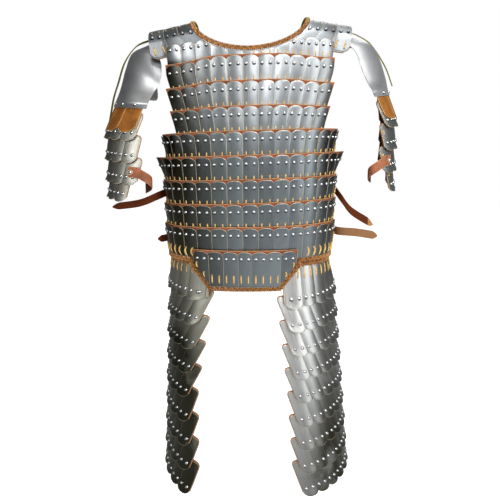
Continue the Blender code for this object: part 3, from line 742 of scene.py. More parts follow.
def leg_painted_shade(x, z):
    """The same painted shade for the legs. The left one goes dark below its second row and outward, the right
    one only far out and low down."""
    side = x.rise(-0.01, 0.01)
    left = (1 - x.rise(-0.19, -0.12)) * 0.6 + (1 - z.rise(-0.84, -0.62)) * 0.9
    right = x.rise(0.11, 0.20) * 0.7 + (1 - z.rise(-1.10, -0.72)) * 0.4
    return x.rise(0.07, 0.17) * 0.5, left * (1 - side) + right * side


def arm_painted_shade(x, z):
    """The same painted shade for the arms, dark on their outer sides."""
    return x.rise(0.2, 0.25) * 0.8, (1 - x.rise(-0.34, -0.29)) * 0.5 + x.rise(0.29, 0.34) * 0.5


def even(x, z):
    """No darker anywhere, but slate all over."""
    return x * 0 + 0.4, x * 0


def brushed_steel(name, painted_shade, pale=(0.62, 0.65, 0.67), dull=0.25, edge_wear_and_highlight=0.6):
    """Steel brushed along each plate, a little different from plate to plate. Its edges are light, partly
    from wear and partly a painted highlight, inside a thin painted shadow line. The painted shade function
    says where it is slate and where dark and olive."""
    f = Finish(name)
    shade = f.attribute("shade")
    rim = f.attribute("rim")
    streaks = f.noise(1.0, 4.0, f.stretched((700.0, 22.0), shade))
    clouds = f.noise(14.0, 4.0)
    fine = f.noise(260.0, 3.0)
    # Painted shade: how slate and how dark the steel is at each place
    slate_shade, dark = painted_shade(f.place(0), f.place(2))
    tone = streaks * 0.35 + clouds * 0.35 + shade * 0.30
    colour = f.mix(tone.rise(0.25, 0.75), tuple(0.66 * c for c in pale), pale)
    slate = f.mix(slate_shade * 0.85, colour, f.mix(tone.rise(0.25, 0.75), (0.13, 0.155, 0.17), (0.25, 0.295, 0.32)))
    # Painted shade's dark olive colour, broken up by clouds
    painted_dark = f.mix(dark * clouds.rise(0.0, 0.5), slate, (0.042, 0.042, 0.028))
    # Painted shadow: a thin dark line just inside each plate's rim
    rim_shaded = f.mix(rim.rise(0.02, 0.3) * (1 - rim.rise(0.45, 0.7)) * 0.55, painted_dark, (0.03, 0.028, 0.02))
    # Light edges: partly wear, partly a painted highlight
    wear_and_highlight = f.mix(rim.rise(0.6, 0.9) * edge_wear_and_highlight, rim_shaded, (0.74, 0.64, 0.48))
    rough = streaks * 0.12 + fine * 0.08 + rim * 0.25 + dull
    relief = streaks * 0.7 + fine * 0.3
    return f.done(base_color=wear_and_highlight, metallic=1.0, roughness=rough, normal=f.bump(relief, 0.00012, 0.5))


def smooth_steel(name):
    """Polished steel with faint scuffs and cloudy patches."""
    f = Finish(name)
    scuffs = f.noise(1.0, 5.0, f.stretched((60.0, 240.0)))
    clouds = f.noise(9.0, 4.0)
    rim = f.attribute("rim")
    colour = f.mix(clouds.rise(0.3, 0.7), (0.60, 0.62, 0.63), (0.76, 0.77, 0.78))
    wear_and_highlight = f.mix(rim * 0.6, colour, (0.85, 0.84, 0.82))
    rough = scuffs * 0.10 + clouds * 0.12 + 0.32
    return f.done(base_color=wear_and_highlight, metallic=1.0, roughness=rough, normal=f.bump(scuffs, 0.00008, 0.4))


def nickel(name):
    """Bright rivet heads with painted shade darkening their lower halves."""
    f = Finish(name)
    # Painted shade: near black on the lower half of each head
    low = 1 - f.attribute("high").rise(-0.8, 0.35)
    fine = f.noise(600.0, 2.0)
    colour = f.mix(low, (0.70, 0.71, 0.72), (0.010, 0.010, 0.010))
    return f.done(base_color=colour, metallic=1.0, roughness=fine * 0.12 + 0.22)


def leather(name, top, edge, back, rough=0.55, gloss=0.22):
    """Leather: cloudy colour, pores and creases in relief, a lighter cut edge and a duller back."""
    f = Finish(name)
    cut = f.attribute("cut")
    behind = f.attribute("behind")
    clouds = f.noise(35.0, 4.0)
    pores = f.node("ShaderNodeTexVoronoi", {"feature": "F1"}, {
        "Vector": f.node("ShaderNodeTexCoord", output="Object"),
        "Scale": 900.0,
    })
    creases = f.noise(150.0, 5.0, rough=0.7)
    darker = tuple(0.55 * c for c in top)
    colour = f.mix(clouds.rise(0.3, 0.72), darker, top)
    wear_and_highlight = f.mix(creases.rise(0.55, 0.75) * 0.25, colour, tuple(min(1, 1.35 * c + 0.05) for c in top))
    rimmed = f.mix(cut.rise(0.15, 0.8), wear_and_highlight, edge)
    sided = f.mix(behind, rimmed, back)
    relief = pores * 0.5 + creases * 0.5
    f.shader.inputs["Specular IOR Level"].default_value = gloss
    return f.done(base_color=sided, roughness=clouds * 0.2 + (rough - 0.1),
                  normal=f.bump(relief, 0.0003, 0.5))


def lacing(name):
    """Waxed yellow leather lace, darker toward its ends where it goes into its holes: painted shade."""
    f = Finish(name)
    ends = f.attribute("ends")
    clouds = f.noise(220.0, 3.0)
    colour = f.mix(clouds.rise(0.3, 0.7), (0.60, 0.33, 0.07), (0.88, 0.62, 0.22))
    # Painted shade toward each lace's ends
    shaded = f.mix(ends.rise(0.55, 1.0) * 0.75, colour, (0.18, 0.08, 0.02))
    return f.done(base_color=shaded, roughness=0.5, normal=f.bump(clouds, 0.0002, 0.4))


def plaited(name):
    """Brown braid: each strand a little different, with a painted highlight on its crown, painted shade in
    the grooves, and an olive painted highlight along its top.
    """
    f = Finish(name)
    crown = f.attribute("crown")
    strand = f.attribute("strand")
    clouds = f.noise(90.0, 4.0)
    tone = strand * 0.3 + clouds * 0.7
    colour = f.mix(tone.rise(0.3, 0.7), (0.20, 0.07, 0.016), (0.52, 0.23, 0.06))
    # Painted shade in the grooves, where the strands turn under
    groove_shaded = f.mix(1 - crown.rise(-0.3, 0.6), colour, (0.035, 0.012, 0.005))
    # Painted highlight on each strand's crown
    lit = f.mix(crown.rise(0.7, 1.0) * 0.4, groove_shaded, (0.66, 0.38, 0.13))
    # Painted highlight: olive along the braid's top, over the shoulders
    wear_and_highlight = f.mix(f.place(2).rise(-0.018, -0.004) * 0.7, lit, (0.16, 0.17, 0.02))
    return f.done(base_color=wear_and_highlight, roughness=0.5, normal=f.bump(clouds, 0.0003, 0.5))


PLATES = brushed_steel("brushed_plates", torso_painted_shade)
YOKE_STEEL = brushed_steel("yoke_plates", even, (0.50, 0.52, 0.53), 0.36, 0.5)
ARM_STEEL = brushed_steel("dull_arm_plates", arm_painted_shade, (0.64, 0.63, 0.56), 0.38, 0.5)
# The right leg's steel is paler and the left one's darker and yellower: painted light and shade on two copies
# of one steel
LEG_STEELS = {
    "left": brushed_steel("left_leg_plates", leg_painted_shade, (0.62, 0.62, 0.53), 0.28, 0.4),
    "right": brushed_steel("right_leg_plates", leg_painted_shade, (0.86, 0.86, 0.84), 0.24, 0.4),
}
POLISHED = smooth_steel("polished_spaulder")
RIVETS = nickel("nickel_rivets")
BANDS = leather("rust_leather", (0.34, 0.105, 0.042), (0.58, 0.31, 0.14), (0.035, 0.014, 0.008))
TAN = leather("tan_leather", (0.37, 0.135, 0.022), (0.62, 0.33, 0.11), (0.27, 0.13, 0.055))
LOOP_LEATHER = leather("copper_leather", (0.42, 0.150, 0.070), (0.58, 0.28, 0.14), (0.06, 0.02, 0.01))
WASHER = leather("pale_washer", (0.66, 0.44, 0.32), (0.72, 0.52, 0.40), (0.40, 0.24, 0.16))
OLIVE = leather("olive_leather", (0.15, 0.14, 0.016), (0.20, 0.18, 0.02), (0.09, 0.08, 0.012))
OXBLOOD = leather("oxblood_leather", (0.13, 0.030, 0.010), (0.42, 0.20, 0.07), (0.11, 0.026, 0.009),
                  0.6, 0.04)
LACES = lacing("yellow_lace")
PLAIT = plaited("brown_braid")
# A slot for each finish that isn't the rows'
SLOTS = {finish.name: slot for slot, finishes in (
    ("spaulder_steel", (POLISHED,)),
    ("braid", (PLAIT,)),
    ("olive_strap", (OLIVE,)),
    ("tan_leather", (TAN, LOOP_LEATHER, WASHER)),
    ("dark_leather", (OXBLOOD,)),
) for finish in finishes}


# What a row is made of

RIM_STEPS = np.array([0, 0.014, 0.035, 0.16, 0.32, 0.5, 0.68, 0.84, 0.93, 0.965, 0.986, 1.0])
LONG_STEPS = np.concatenate([[0, 0.008], np.linspace(0.03, 0.97, 22), [0.992, 1]])
HALF_ACROSS = np.array([0.18, 0.38, 0.58, 0.76, 0.89, 0.955, 1.0])
ACROSS = np.concatenate([-HALF_ACROSS[::-1], [0], HALF_ACROSS])


def fallen(share):
    """How far a quarter circle has fallen at a share of its reach: 1 - √(1 - share²)."""
    return 1 - np.sqrt(1 - share**2)


def arch(a, width, corner=ARCH_WIDTH):
    """How far a plate's end falls away beside its middle: a quarter ellipse at each corner."""
    return fallen(np.clip((np.abs(a) * width / 2 - width / 2 + corner) / corner, 0, 1))


def rounded(along):
    """How far a row's top falls away at its front corner: a quarter circle."""
    return LIMB_CORNER * fallen(np.clip(1 - along / LIMB_CORNER, 0, 1))


def plate_out(a, over, bare=1.0):
    """Height of a plate's outer face: its free edge lies on its neighbour and its middle bulges, less
    where it isn't bare. Over is 1 where its far edge is free, -1 where its near edge is, and 0 where both
    are."""
    over = np.asarray(over, float)
    tilt = np.where(over == 0, 1.0, (1 + over * a) / 2)
    crown = COVERED_CROWN + (PLATE_CROWN - COVERED_CROWN) * bare
    return PLATE_BASE + PLATE_TILT * tilt + crown * (1 - a**2)


def bare_past(level, sign):
    """A function of height: 1 well past a level of a row, above it or below it by the sign, and 0 on the
    other side, where the next row covers it."""
    return lambda up: np.clip(sign * (up - level) / COVER_FADE, 0, 1)


def edge_mask(shape, inset=0):
    """1 on the lines of a grid that are so many lines in from its edge, and 0 elsewhere."""
    mask = np.zeros(shape)
    mask[[inset, -1 - inset]] = 1
    mask[:, [inset, -1 - inset]] = 1
    return mask


def build_plates(name, node, face, centres, width, low, high, over, bare=np.ones_like, steel=PLATES,
                 steps=RIM_STEPS, real_width=None):
    """All the plates of a row in one piece. Each is a grid from its low edge to its high edge, the outer
    face beveled round its rim, a sheet's thickness over the inner one. Low and high are functions of the
    distance along the row and the share across the plate, and bare is one of the height."""
    a = ACROSS[None, :, None]
    along = centres[:, None, None] + a * width / 2
    bottom, top = low(along, a), high(along, a)
    up = bottom + (top - bottom) * steps + 0 * along
    along = along + 0 * up
    edge = np.maximum(edge_mask(up.shape[1:]), 0.75 * edge_mask(up.shape[1:], 1))
    out = plate_out(a, np.asarray(over)[:, None, None], bare(up))
    points, faces = shell(face(along, up, out - SHEET), face(along, up, out - BEVEL * edge**4))
    uv = twice(np.stack([a * (real_width or width) / 2 + 0 * up, up], -1))
    shade = np.random.default_rng(len(name) + int(1e4 * abs(centres[0]))).random(len(centres))
    shade = twice(shade[:, None, None] + 0 * up)
    # Rim values drive the painted shadow line and the painted highlight along each plate's edges
    piece(name, points, faces, steel, node, uv, rim=twice(edge + 0 * up), shade=shade)


def rivet_pairs(centres, pitch):
    """Places of the two rivets of each plate, a quarter of the pitch from its middle."""
    return (centres[:, None] + (-pitch / 4, pitch / 4)).ravel()


def for_each(along, values):
    """Numbers or arrays, as arrays with one value for each place along."""
    return [np.broadcast_to(value, along.shape)[:, None, None] for value in values]


def disc(count):
    """A square grid pressed into a disc: x √(1 - y²/2) and the same for y."""
    side = np.linspace(-1, 1, count)
    x, y = np.meshgrid(side, side, indexing="ij")
    return x * np.sqrt(1 - y**2 / 2), y * np.sqrt(1 - x**2 / 2)


def build_rivets(name, spots, scale=1.0, tall=1.0, material=RIVETS):
    """Domed heads on many faces. Each entry has a face, an array of places along it, numbers or arrays for
    up and out, and how many metres a step along is."""
    x, y = disc(5)
    dome = np.sqrt(np.clip(1 - (x**2 + y**2), 0, 1)) ** 0.8
    radius = RIVET_RADIUS * scale
    inner, outer, high = [], [], []
    for face, along, *level, metres in spots:
        up, out = for_each(along, level)
        s = along[:, None, None] + radius * x / metres
        t = up + radius * y
        base = out - RIVET_SUNK + 0 * s
        inner.append(face(s, t, base))
        outer.append(face(s, t, base + RIVET_SUNK + RIVET_HEIGHT * tall * dome))
        # How far up each head a point is, for the rivets' painted shade
        high.append(y + 0 * s)
    points, faces = shell(np.concatenate(inner), np.concatenate(outer))
    piece(name, points, faces, material, high=twice(np.concatenate(high)))


def build_laces(name, stitches):
    """Lace stitches on many faces: flat pads, thick in the middle, which may bow sideways. Each entry has a
    face, an array of places along it, and numbers or arrays for up, out, width, length, height and bow."""
    b = np.sin(np.linspace(-np.pi / 2, np.pi / 2, 9))[:, None]
    a = np.sin(np.linspace(-np.pi / 2, np.pi / 2, 5))[None, :]
    taper = np.sqrt(1 - 0.9 * b**4)
    crown = np.sqrt(np.clip(1 - a**2, 0, 1)) * np.sqrt(np.clip(1 - b**6, 0, 1))
    inner, outer, ends = [], [], []
    for face, along, *sizes in stitches:
        up, out, width, length, height, bow = for_each(along, sizes)
        s = along[:, None, None] + a * taper * width / 2 + bow * (1 - b**2)
        t = up + b * length / 2 + 0 * s
        inner.append(face(s, t, out - LACE_SUNK))
        outer.append(face(s, t, out + height * crown))
        # How near its ends each point of a lace is, for the laces' painted shade
        ends.append(np.abs(b) + 0 * s)
    points, faces = shell(np.concatenate(inner), np.concatenate(outer))
    piece(name, points, faces, LACES, ends=twice(np.concatenate(ends)))


def edged(low, high, count):
    """Places from one end to the other, with one close to each end for the cut edge."""
    return np.concatenate([[low], np.linspace(low + CUT, high - CUT, count), [high]])


def edged_shares(count):
    """The same as shares of a sheet's width."""
    return np.concatenate([[0, 0.03], np.linspace(0.12, 0.88, count), [0.97, 1]])


def path_length(points):
    """The sum of a path's steps."""
    return float(np.linalg.norm(np.diff(points, axis=0), axis=1).sum())


def build_leather(name, node, inner, outer, material, marks=0):
    """A leather sheet between two grids of points. Marks are places inside it that are as pale as its cut
    edge."""
    points, faces = shell(inner, outer)
    cut = np.maximum(edge_mask(inner.shape[:2]), marks)
    behind = np.stack([1.0 - marks + 0 * cut, 0 * cut])
    obj = piece(name, points, faces, material, node, cut=twice(cut), behind=behind)


def build_band(row, face, along, low, high, drawn=False):
    """A row's leather band, from its low edge to its high edge at each place along. Its flat size is measured
    along its lines where it is drawn to another shape, and from its rectangle elsewhere."""
    low, high = low + 0 * along, high + 0 * along
    up = low[:, None] + (high - low)[:, None] * edged_shares(5)
    grid = along[:, None] + 0 * up
    height = high - low
    inner = face(grid, up, 0.0)
    if drawn:
        flat = tuple(max(path_length(line) for line in lines) for lines in (inner.swapaxes(0, 1), inner))
        area = DRAWN_SHARE * flat[0] * flat[1]
    else:
        flat = (along[-1] - along[0], float(height.max()) * 1.001)
        area = float((np.diff(along) * (height[1:] + height[:-1]) / 2).sum())
    build_leather(f"{row}_band", row, inner, face(grid, up, BAND), BANDS)


def row_centres(plates, pitch):
    """Places of the plates' middles along a row that has its own middle at 0."""
    return (np.arange(plates) - (plates - 1) / 2) * pitch


def torso_row(i, facing, rivets, laces):
    """A torso row: its band, its plates with arched tops, and where its rivets and stitches go."""
    plates, pitch = ROWS[i][:2]
    first, last = i == 0, i == len(ROWS) - 1
    side = "front" if facing < 0 else "back"
    row = f"{side}_row_{i}"
    face = torso_face(i, facing)
    bottom = HEM - row_top(i) + ROW_HEIGHT if last else 0.0
    tall = ROW_HEIGHT - FIRST_ROW_CUT * first
    centres = row_centres(plates, pitch)
    width = pitch + PLATE_LAP
    half = plates * pitch / 2 + BAND_END
    along = edged(-half, half, 6 * plates)

    def limit(s):
        x = section(angles_at(s, row_middle(i)), row_middle(i), 0.0, facing)[..., 0]
        return neck_edge(x) - row_top(i) + ROW_HEIGHT

    def high(s, a):
        top = tall - PLATE_DROP - ARCH_HEIGHT * arch(a, width)
        return np.minimum(top, limit(s) - PLATE_INSET) if first else top

    band_top = np.minimum(tall - FIRST_BAND_DROP, limit(along)) if first else tall
    build_band(row, face, along, bottom, band_top)
    switch = plates // 2 if facing > 0 else SWITCHES[plates]
    over = np.sign(switch - np.arange(plates))
    bare = np.ones_like if last else bare_past(ROW_HEIGHT - ROW_PITCH, 1)
    build_plates(f"{row}_plates", row, face, centres, width, lambda s, a: bottom + PLATE_INSET, high, over,
                 bare)
    spots = rivet_pairs(centres, pitch)
    out = plate_out(np.tile([-0.5, 0.5], plates) * pitch / width, np.repeat(over, 2))
    down, nearest = (FIRST_RIVETS_DOWN, FIRST_RIVETS_FROM) if first else (RIVETS_DOWN, 0)
    shown = np.abs(spots) > nearest
    rivets.append((face, spots[shown], tall - down, out[shown], 1.0))
    if not last:
        reach = ROWS[i + 1][0] * ROWS[i + 1][1] / 2
        held = (np.abs(spots) < reach) & ((spots > 0) | (i > 0))
        laces.append((face, spots[held], ROW_HEIGHT - ROW_PITCH + STITCH_UP, out[held] - STITCH_SUNK,
                      *STITCH))
    if facing < 0 and i in TIED_ROWS:
        laces.append((face, np.full(3, half - TIES_IN), np.array(TIES_UP), TIES_OUT, *TIE))
    if facing < 0 and last:
        ends = spots[np.abs(spots) > HOOKS_FROM]
        laces.append((face, ends, bottom + HOOK_UP, np.interp(ends, spots, out), *HOOK,
                      HOOK_BOW * np.sign(ends)))


def build_torso():
    """The front's nine rows and the back's eight, and each side's rivets and laces in one piece."""
    for side, facing in (("front", -1), ("back", 1)):
        rivets, laces = [], []
        for i in range(facing > 0, len(ROWS)):
            torso_row(i, facing, rivets, laces)
        build_rivets(f"{side}_rivets", rivets)
        build_laces(f"{side}_laces", laces)


def build_flap():
    """The centre flap: its band, seven plates cut along its outline, and long laces near its bottom."""
    half = flap_half_width()
    height = row_top(len(ROWS)) - FLAP_BOTTOM
    along = edged(-half, half, 6 * FLAP_PLATES)
    build_band("front_flap", flap_face, along, flap_low(along), height)
    centres = row_centres(FLAP_PLATES, FLAP_PITCH)
    width = FLAP_PITCH + PLATE_LAP
    over = np.sign(FLAP_SWITCH - np.arange(FLAP_PLATES))
    build_plates("front_flap_plates", "front_flap", flap_face, centres, width,
                 lambda s, a: flap_low(s) + FLAP_PLATE_UP,
                 lambda s, a: height - PLATE_DROP - ARCH_HEIGHT * arch(a, width), over)
    spots = rivet_pairs(centres, FLAP_PITCH)
    out = plate_out(np.tile(RIVETS_ACROSS, FLAP_PLATES), np.repeat(over, 2))
    build_rivets("front_flap_rivets", [(flap_face, spots, height - RIVETS_DOWN, out, 1.0)])
    sloping = np.abs(spots) > half - FLAP_SLOPE_WIDTH
    up = flap_low(spots) + np.where(sloping, *FLAP_LACES_UP)
    length = np.where(sloping, *FLAP_LACES_LONG)
    bow = np.where(sloping, FLAP_LACES_BOW * np.sign(spots), 0)
    wide, high = FLAP_LACE
    build_laces("front_flap_laces", [(flap_face, spots, up, out, wide, length, high, bow)])


def widened(face, more, reach):
    """The same surface with its front end drawn further forward, less and less up to a distance along."""
    return lambda s, t, o: face(s - more * np.clip(1 - s / reach, 0, None) ** 2, t, o)


def limb_rows(kind, side, limb, rivets, laces):
    """The rows of an arm or a leg: scalloped bands, plates with round bottoms, each over the next one
    outward, and their rivets."""
    top = limb.height - RIVET_UP
    pitch = limb.plate_pitch
    width = pitch + PLATE_LAP
    for i in range(limb.rows):
        row = f"{kind}_{side}_row_{i}"
        hem = kind == "leg" and i == 0
        last = i == limb.rows - 1
        plates = last and limb.last_plates or limb.plates
        face = limb_face(limb, i, hem)
        if hem:
            face = widened(face, LEG_FRONTS[side], pitch / 2)
        end = plates * pitch + 2 * BAND_END
        along = edged(0.0, end, 8 * plates)
        *steps, past = LIMB_CORNER * np.array(CORNER_STEPS)
        along = np.concatenate([along[:2], steps, along[along > past]])
        share = np.clip(np.abs(2 * ((along - BAND_END) / pitch % 1) - 1), 0, 0.97)
        share = np.where((along < BAND_END) | (along > end - BAND_END), 1, share)
        bottom = NOTCH * arch(share, pitch, LIMB_ARCH_WIDTH) - RIVET_UP
        build_band(row, face, along, bottom, top - rounded(along) * (not hem), hem)
        centres = BAND_END + (np.arange(plates) + 0.5) * pitch
        build_plates(f"{row}_plates", row, face, centres, width,
                     lambda s, a: NOTCH * arch(a, width, LIMB_ARCH_WIDTH) - RIVET_UP + PLATE_UP,
                     lambda s, a: top - 2 * PLATE_INSET - rounded(s) * (not hem), np.ones(plates),
                     bare_past(limb.pitch - RIVET_UP, -1) if i else np.ones_like,
                     ARM_STEEL if kind == "arm" else LEG_STEELS[side])
        spots = rivet_pairs(centres, pitch)
        out = plate_out(np.tile(RIVETS_ACROSS, plates), 1.0)
        rivets.append((face, spots, 0.0, out, 1.0))
        if i and kind == "arm" and side == "right":
            laces.append((face, np.array([EDGE_LACE_ALONG]), limb.pitch - RIVET_UP - EDGE_LACE_DOWN,
                          EDGE_LACE_OUT, *EDGE_LACE))
        if hem:
            near = spots < LEG_HOOKS_TO
            laces.append((face, spots[near], top - LEG_HOOKS_DOWN, out[near], *LEG_HOOK, HOOK_BOW / 2))


def build_limbs():
    """The arms' and legs' rows, and each limb's rivets and laces in one piece."""
    for kind, limbs in (("arm", ARMS), ("leg", LEGS)):
        for side, limb in limbs.items():
            rivets, laces = [], []
            limb_rows(kind, side, limb, rivets, laces)
            build_rivets(f"{kind}_{side}_rivets", rivets)
            if laces:
                build_laces(f"{kind}_{side}_laces", laces)


def build_yokes():
    """The two saddles: a band over the shoulder with three plates in front and three behind. Distances
    along a saddle are shares of its width."""
    for side, sign in (("left", -1), ("right", 1)):
        node = f"shoulder_{side}"
        rivets, laces, grids = [], [], []
        for end, facing in (("front", -1), ("back", 1)):
            face, length = yoke_face(sign, facing)
            centres = (np.arange(YOKE_PLATES) + 0.5) / YOKE_PLATES

            def lowest(s):
                corner = np.clip((s - YOKE_CORNER_FROM) / (1 - YOKE_CORNER_FROM), 0, 1) * (facing < 0)
                return -length + YOKE_CORNER * fallen(corner)

            build_plates(f"{node}_{end}_plates", node, lambda s, t, o: face(np.clip(s, 0, 1), t, o), centres,
                         1 / YOKE_PLATES + PLATE_LAP / YOKE_WIDTH, lambda s, a: lowest(s) + PLATE_UP,
                         lambda s, a: -YOKE_TOP - YOKE_ARCH * arch(a, YOKE_PLATE_WIDTH),
                         -np.ones(YOKE_PLATES), np.zeros_like, YOKE_STEEL, LONG_STEPS, YOKE_PLATE_WIDTH)
            spots = rivet_pairs(centres, YOKE_RIVET_PITCH)
            out = plate_out(np.tile(RIVETS_ACROSS, YOKE_PLATES), -1.0)
            rivets.append((face, spots, -np.interp(spots, (0, 1), YOKE_RIVETS), out, YOKE_WIDTH))
            laces.append((face, spots, -YOKE_STITCHES, out, *YOKE_STITCH))
            if facing < 0:
                laces.append((face, spots[-2:], YOKE_LACES_UP - length, out[-2:], *YOKE_LACE))
            across = edged(0.0, 1.0, 12)[:, None]
            up = lowest(across) * (1 - np.concatenate([[0, 0.015], np.linspace(0.08, 1, 16)]))
            grids.append((face(across, up, 0.0), face(across, up, BAND)))
        front, back = grids
        inner, outer = (np.concatenate([f, b[:, -2::-1]], 1) for f, b in zip(front, back))
        build_leather(f"{node}_band", node, inner, outer, BANDS)
        build_rivets(f"{node}_rivets", rivets)
        build_laces(f"{node}_laces", laces)


# Braids

def build_braid(name, path, outward, scale, node=None, closed=False):
    """A flat braid of three strands along a path. Strand k swings sideways by sin(p + k/3 turn) and in and
    out by sin of twice that, where p is the length along the path in periods."""
    length = np.concatenate([[0], np.cumsum(np.linalg.norm(np.diff(path, axis=0), axis=1))])
    at = np.linspace(0, length[-1], int(length[-1] / PLAIT_STEP))
    line, normal = (np.stack([np.interp(at, length, column) for column in points.T], 1)
                    for points in (path, outward))
    normal = unit(normal)
    tangent = unit(np.gradient(line, axis=0))
    if closed:
        tangent[[0, -1]] = unit(tangent[0] + tangent[-1])
    normal = unit(normal - (normal * tangent).sum(1, keepdims=True) * tangent)
    side = np.cross(tangent, normal)
    ring = np.linspace(0, 2 * np.pi, 9)[:-1]
    width, thick = (radius * scale * turn(ring) for radius, turn in zip(STRAND, (np.sin, np.cos)))
    rings, crown, strand = [], [], []
    for k in range(3):
        phase = 2 * np.pi * (round(length[-1] / PLAIT_PERIOD) * at / length[-1] + k / 3)
        centre = line + scale * PLAIT_SWING * np.sin(phase)[:, None] * side
        centre = centre + scale * PLAIT_LIFT * np.sin(2 * phase)[:, None] * normal
        rings.append(centre[:, None] + width[None, :, None] * side[:, None]
                     + thick[None, :, None] * normal[:, None])
        # How far each strand's surface faces out and lifts, for the braid's painted highlight and groove
        # shade
        crown.append(np.cos(ring)[None, :] * 0.6 + 0.5 * np.sin(2 * phase)[:, None])
        strand.append(np.full(crown[-1].shape, k / 2))
    points = np.stack(rings)
    index = np.arange(points[..., 0].size).reshape(points.shape[:-1])
    around = np.concatenate([index, index[..., :1]], -1)
    if closed:
        faces = lattice(np.concatenate([around, around[:, :1]], 1))
    else:
        ends = np.concatenate([index[:, 0], index[:, -1, ::-1]])
        quads = [ends[:, corners] for corners in ((0, 1, 2, 3), (0, 3, 4, 7), (4, 5, 6, 7))]
        faces = np.concatenate([lattice(around), *quads])
    piece(name, points.reshape(-1, 3), faces, PLAIT, node, crown=np.stack(crown), strand=np.stack(strand))


def neck_run(facing, depth, power):
    """Half of the neck braid's path and which way is out from it, as in the frame."""
    turn = np.linspace(-np.pi / 2, np.pi / 2, 120)
    x = NECK_HALF_WIDTH * np.sign(turn) * np.abs(np.sin(turn)) ** (2 / power)
    z = YOKE_RIDGE - (depth + YOKE_RIDGE) * np.abs(np.cos(turn)) ** (2 / power)
    risen = np.clip((z - YOKE_RIDGE) / YOKE_RISE + 1, 0, 1)
    forward = np.sqrt(1 - risen**2)
    stand = WALL * np.interp(-z, NECK_STEP, NECK_STAND)
    y = (yoke_depth(x) + stand) * forward
    outward = np.stack([0 * x, facing * forward, risen + 1e-6], -1)
    return np.stack([x, facing * y, z + stand * risen], -1), outward


def build_neck_braid():
    """The braid round the neck opening, along the front's neckline and back along the other."""
    runs = zip(neck_run(*NECK_FRONT), neck_run(*NECK_BACK))
    path, outward = (np.concatenate([front[1:], back[-2::-1]]) for front, back in runs)
    build_braid("neck_plait", slouched(path), outward, NECK_PLAIT, "neck_braid", closed=True)


def build_hem_braid():
    """The braid along the front's hem: level under the last row, then round the flap's outline."""
    clear = BRAID + GAP
    level_end, slope_start, slope_end, drop = (share * clear for share in HEM_TURN)
    half = flap_half_width()
    side = ROWS[-1][0] * ROWS[-1][1] / 2
    paths = []
    for lift in (WALL / 2, WALL / 2 + FACING_STEP):
        points = []
        for sign in (-1, 1):
            level = np.linspace(side, half + sign * FLAP_CENTRE + level_end, 40)
            run = section(angles_at(sign * level, HEM), np.full_like(level, HEM - clear), lift, -1)
            slope = np.array([half + slope_start, half - FLAP_SLOPE_WIDTH + slope_end])
            low = np.array([FLAP_CORNER - drop, FLAP_BOTTOM - clear])
            points.append(np.concatenate([run, flap_points(sign * slope, low - FLAP_BOTTOM, lift)]))
        middle = np.linspace(-half + FLAP_SLOPE_WIDTH, half - FLAP_SLOPE_WIDTH, 30)[1:-1]
        bottom = flap_points(middle, -clear, lift)
        paths.append(slouched(np.concatenate([points[0], bottom, points[1][::-1]])))
    build_braid("hem_plait", paths[0], paths[1] - paths[0], HEM_PLAIT, "hem_braid")


def build_leg_braids():
    """A short braid along the top of each leg guard's first row, close under the torso's hem. A second line
    farther out says which way it faces."""
    for side, limb in LEGS.items():
        face = limb_face(limb, 0, True)
        along = np.linspace(LEG_PLAIT_FROM, LEG_HOOKS_TO, 60)
        up = limb.height - RIVET_UP - LEG_PLAIT_DOWN
        path, above = (face(along, up, LEG_PLAIT_OUT + lift) for lift in (0.0, FACING_STEP))
        build_braid(f"leg_{side}_plait", path, above - path, LEG_PLAIT)


# Straps, flaps and spaulders

def strap_grids(path, across, outward, count):
    """Inner and outer grids of a strap along a smooth path, with half of its width as a vector."""
    at = np.linspace(0, len(path) - 1, count)
    path = spline(path, count)
    across = np.stack([np.interp(at, np.arange(len(across)), column) for column in across.T], 1)
    normal = unit(np.cross(np.gradient(path, axis=0), across)) * STRAP
    normal = normal * np.sign(normal[0] @ outward)
    share = np.array(STRAP_ACROSS)[:, None, None]
    inner = path + share * across
    swell = 1 - STRAP_EDGE * np.abs(share) ** 8
    return slouched(inner), slouched(inner + normal * swell)


def build_strap(node, path, across, outward, material, count=60, tip=1.0):
    """A strap along a path. It is pale past the tip's share of its length."""
    across = np.asarray(across, float) + np.zeros((len(path), 3))
    inner, outer = strap_grids(path, across, np.asarray(outward, float), count)
    flat = (2 * float(np.linalg.norm(across, axis=1).max()), path_length(inner[3]))
    pale = np.zeros(inner.shape[:2]) + (np.linspace(0, 1, count) > tip)
    build_leather(f"{node}_leather", node, inner, outer, material, marks=pale)


def tapered(half_width, count, end):
    """Half widths along a strap, the last one a share of the others."""
    return half_width * np.array([1.0] * (count - 1) + [end])[:, None]


def build_arm_straps():
    """The olive straps: through the points of their table, going back to the arm's middle on the way down."""
    for side, limb in ARMS.items():
        out, z = np.array(ARM_STRAPS[side]).T
        y = np.interp(-z, ARM_STRAP_BACK[0], (ARM_STRAP_BACK[1], limb.centre_y))
        path = np.column_stack([limb.side * out, y, z])
        across = tapered(ARM_STRAP_WIDTH / 2, len(path), ARM_STRAP_END) * np.array([ARM_STRAP_TURN[side]])
        build_strap(f"arm_strap_{side}", path, across, (limb.side, 0, 1), OLIVE)


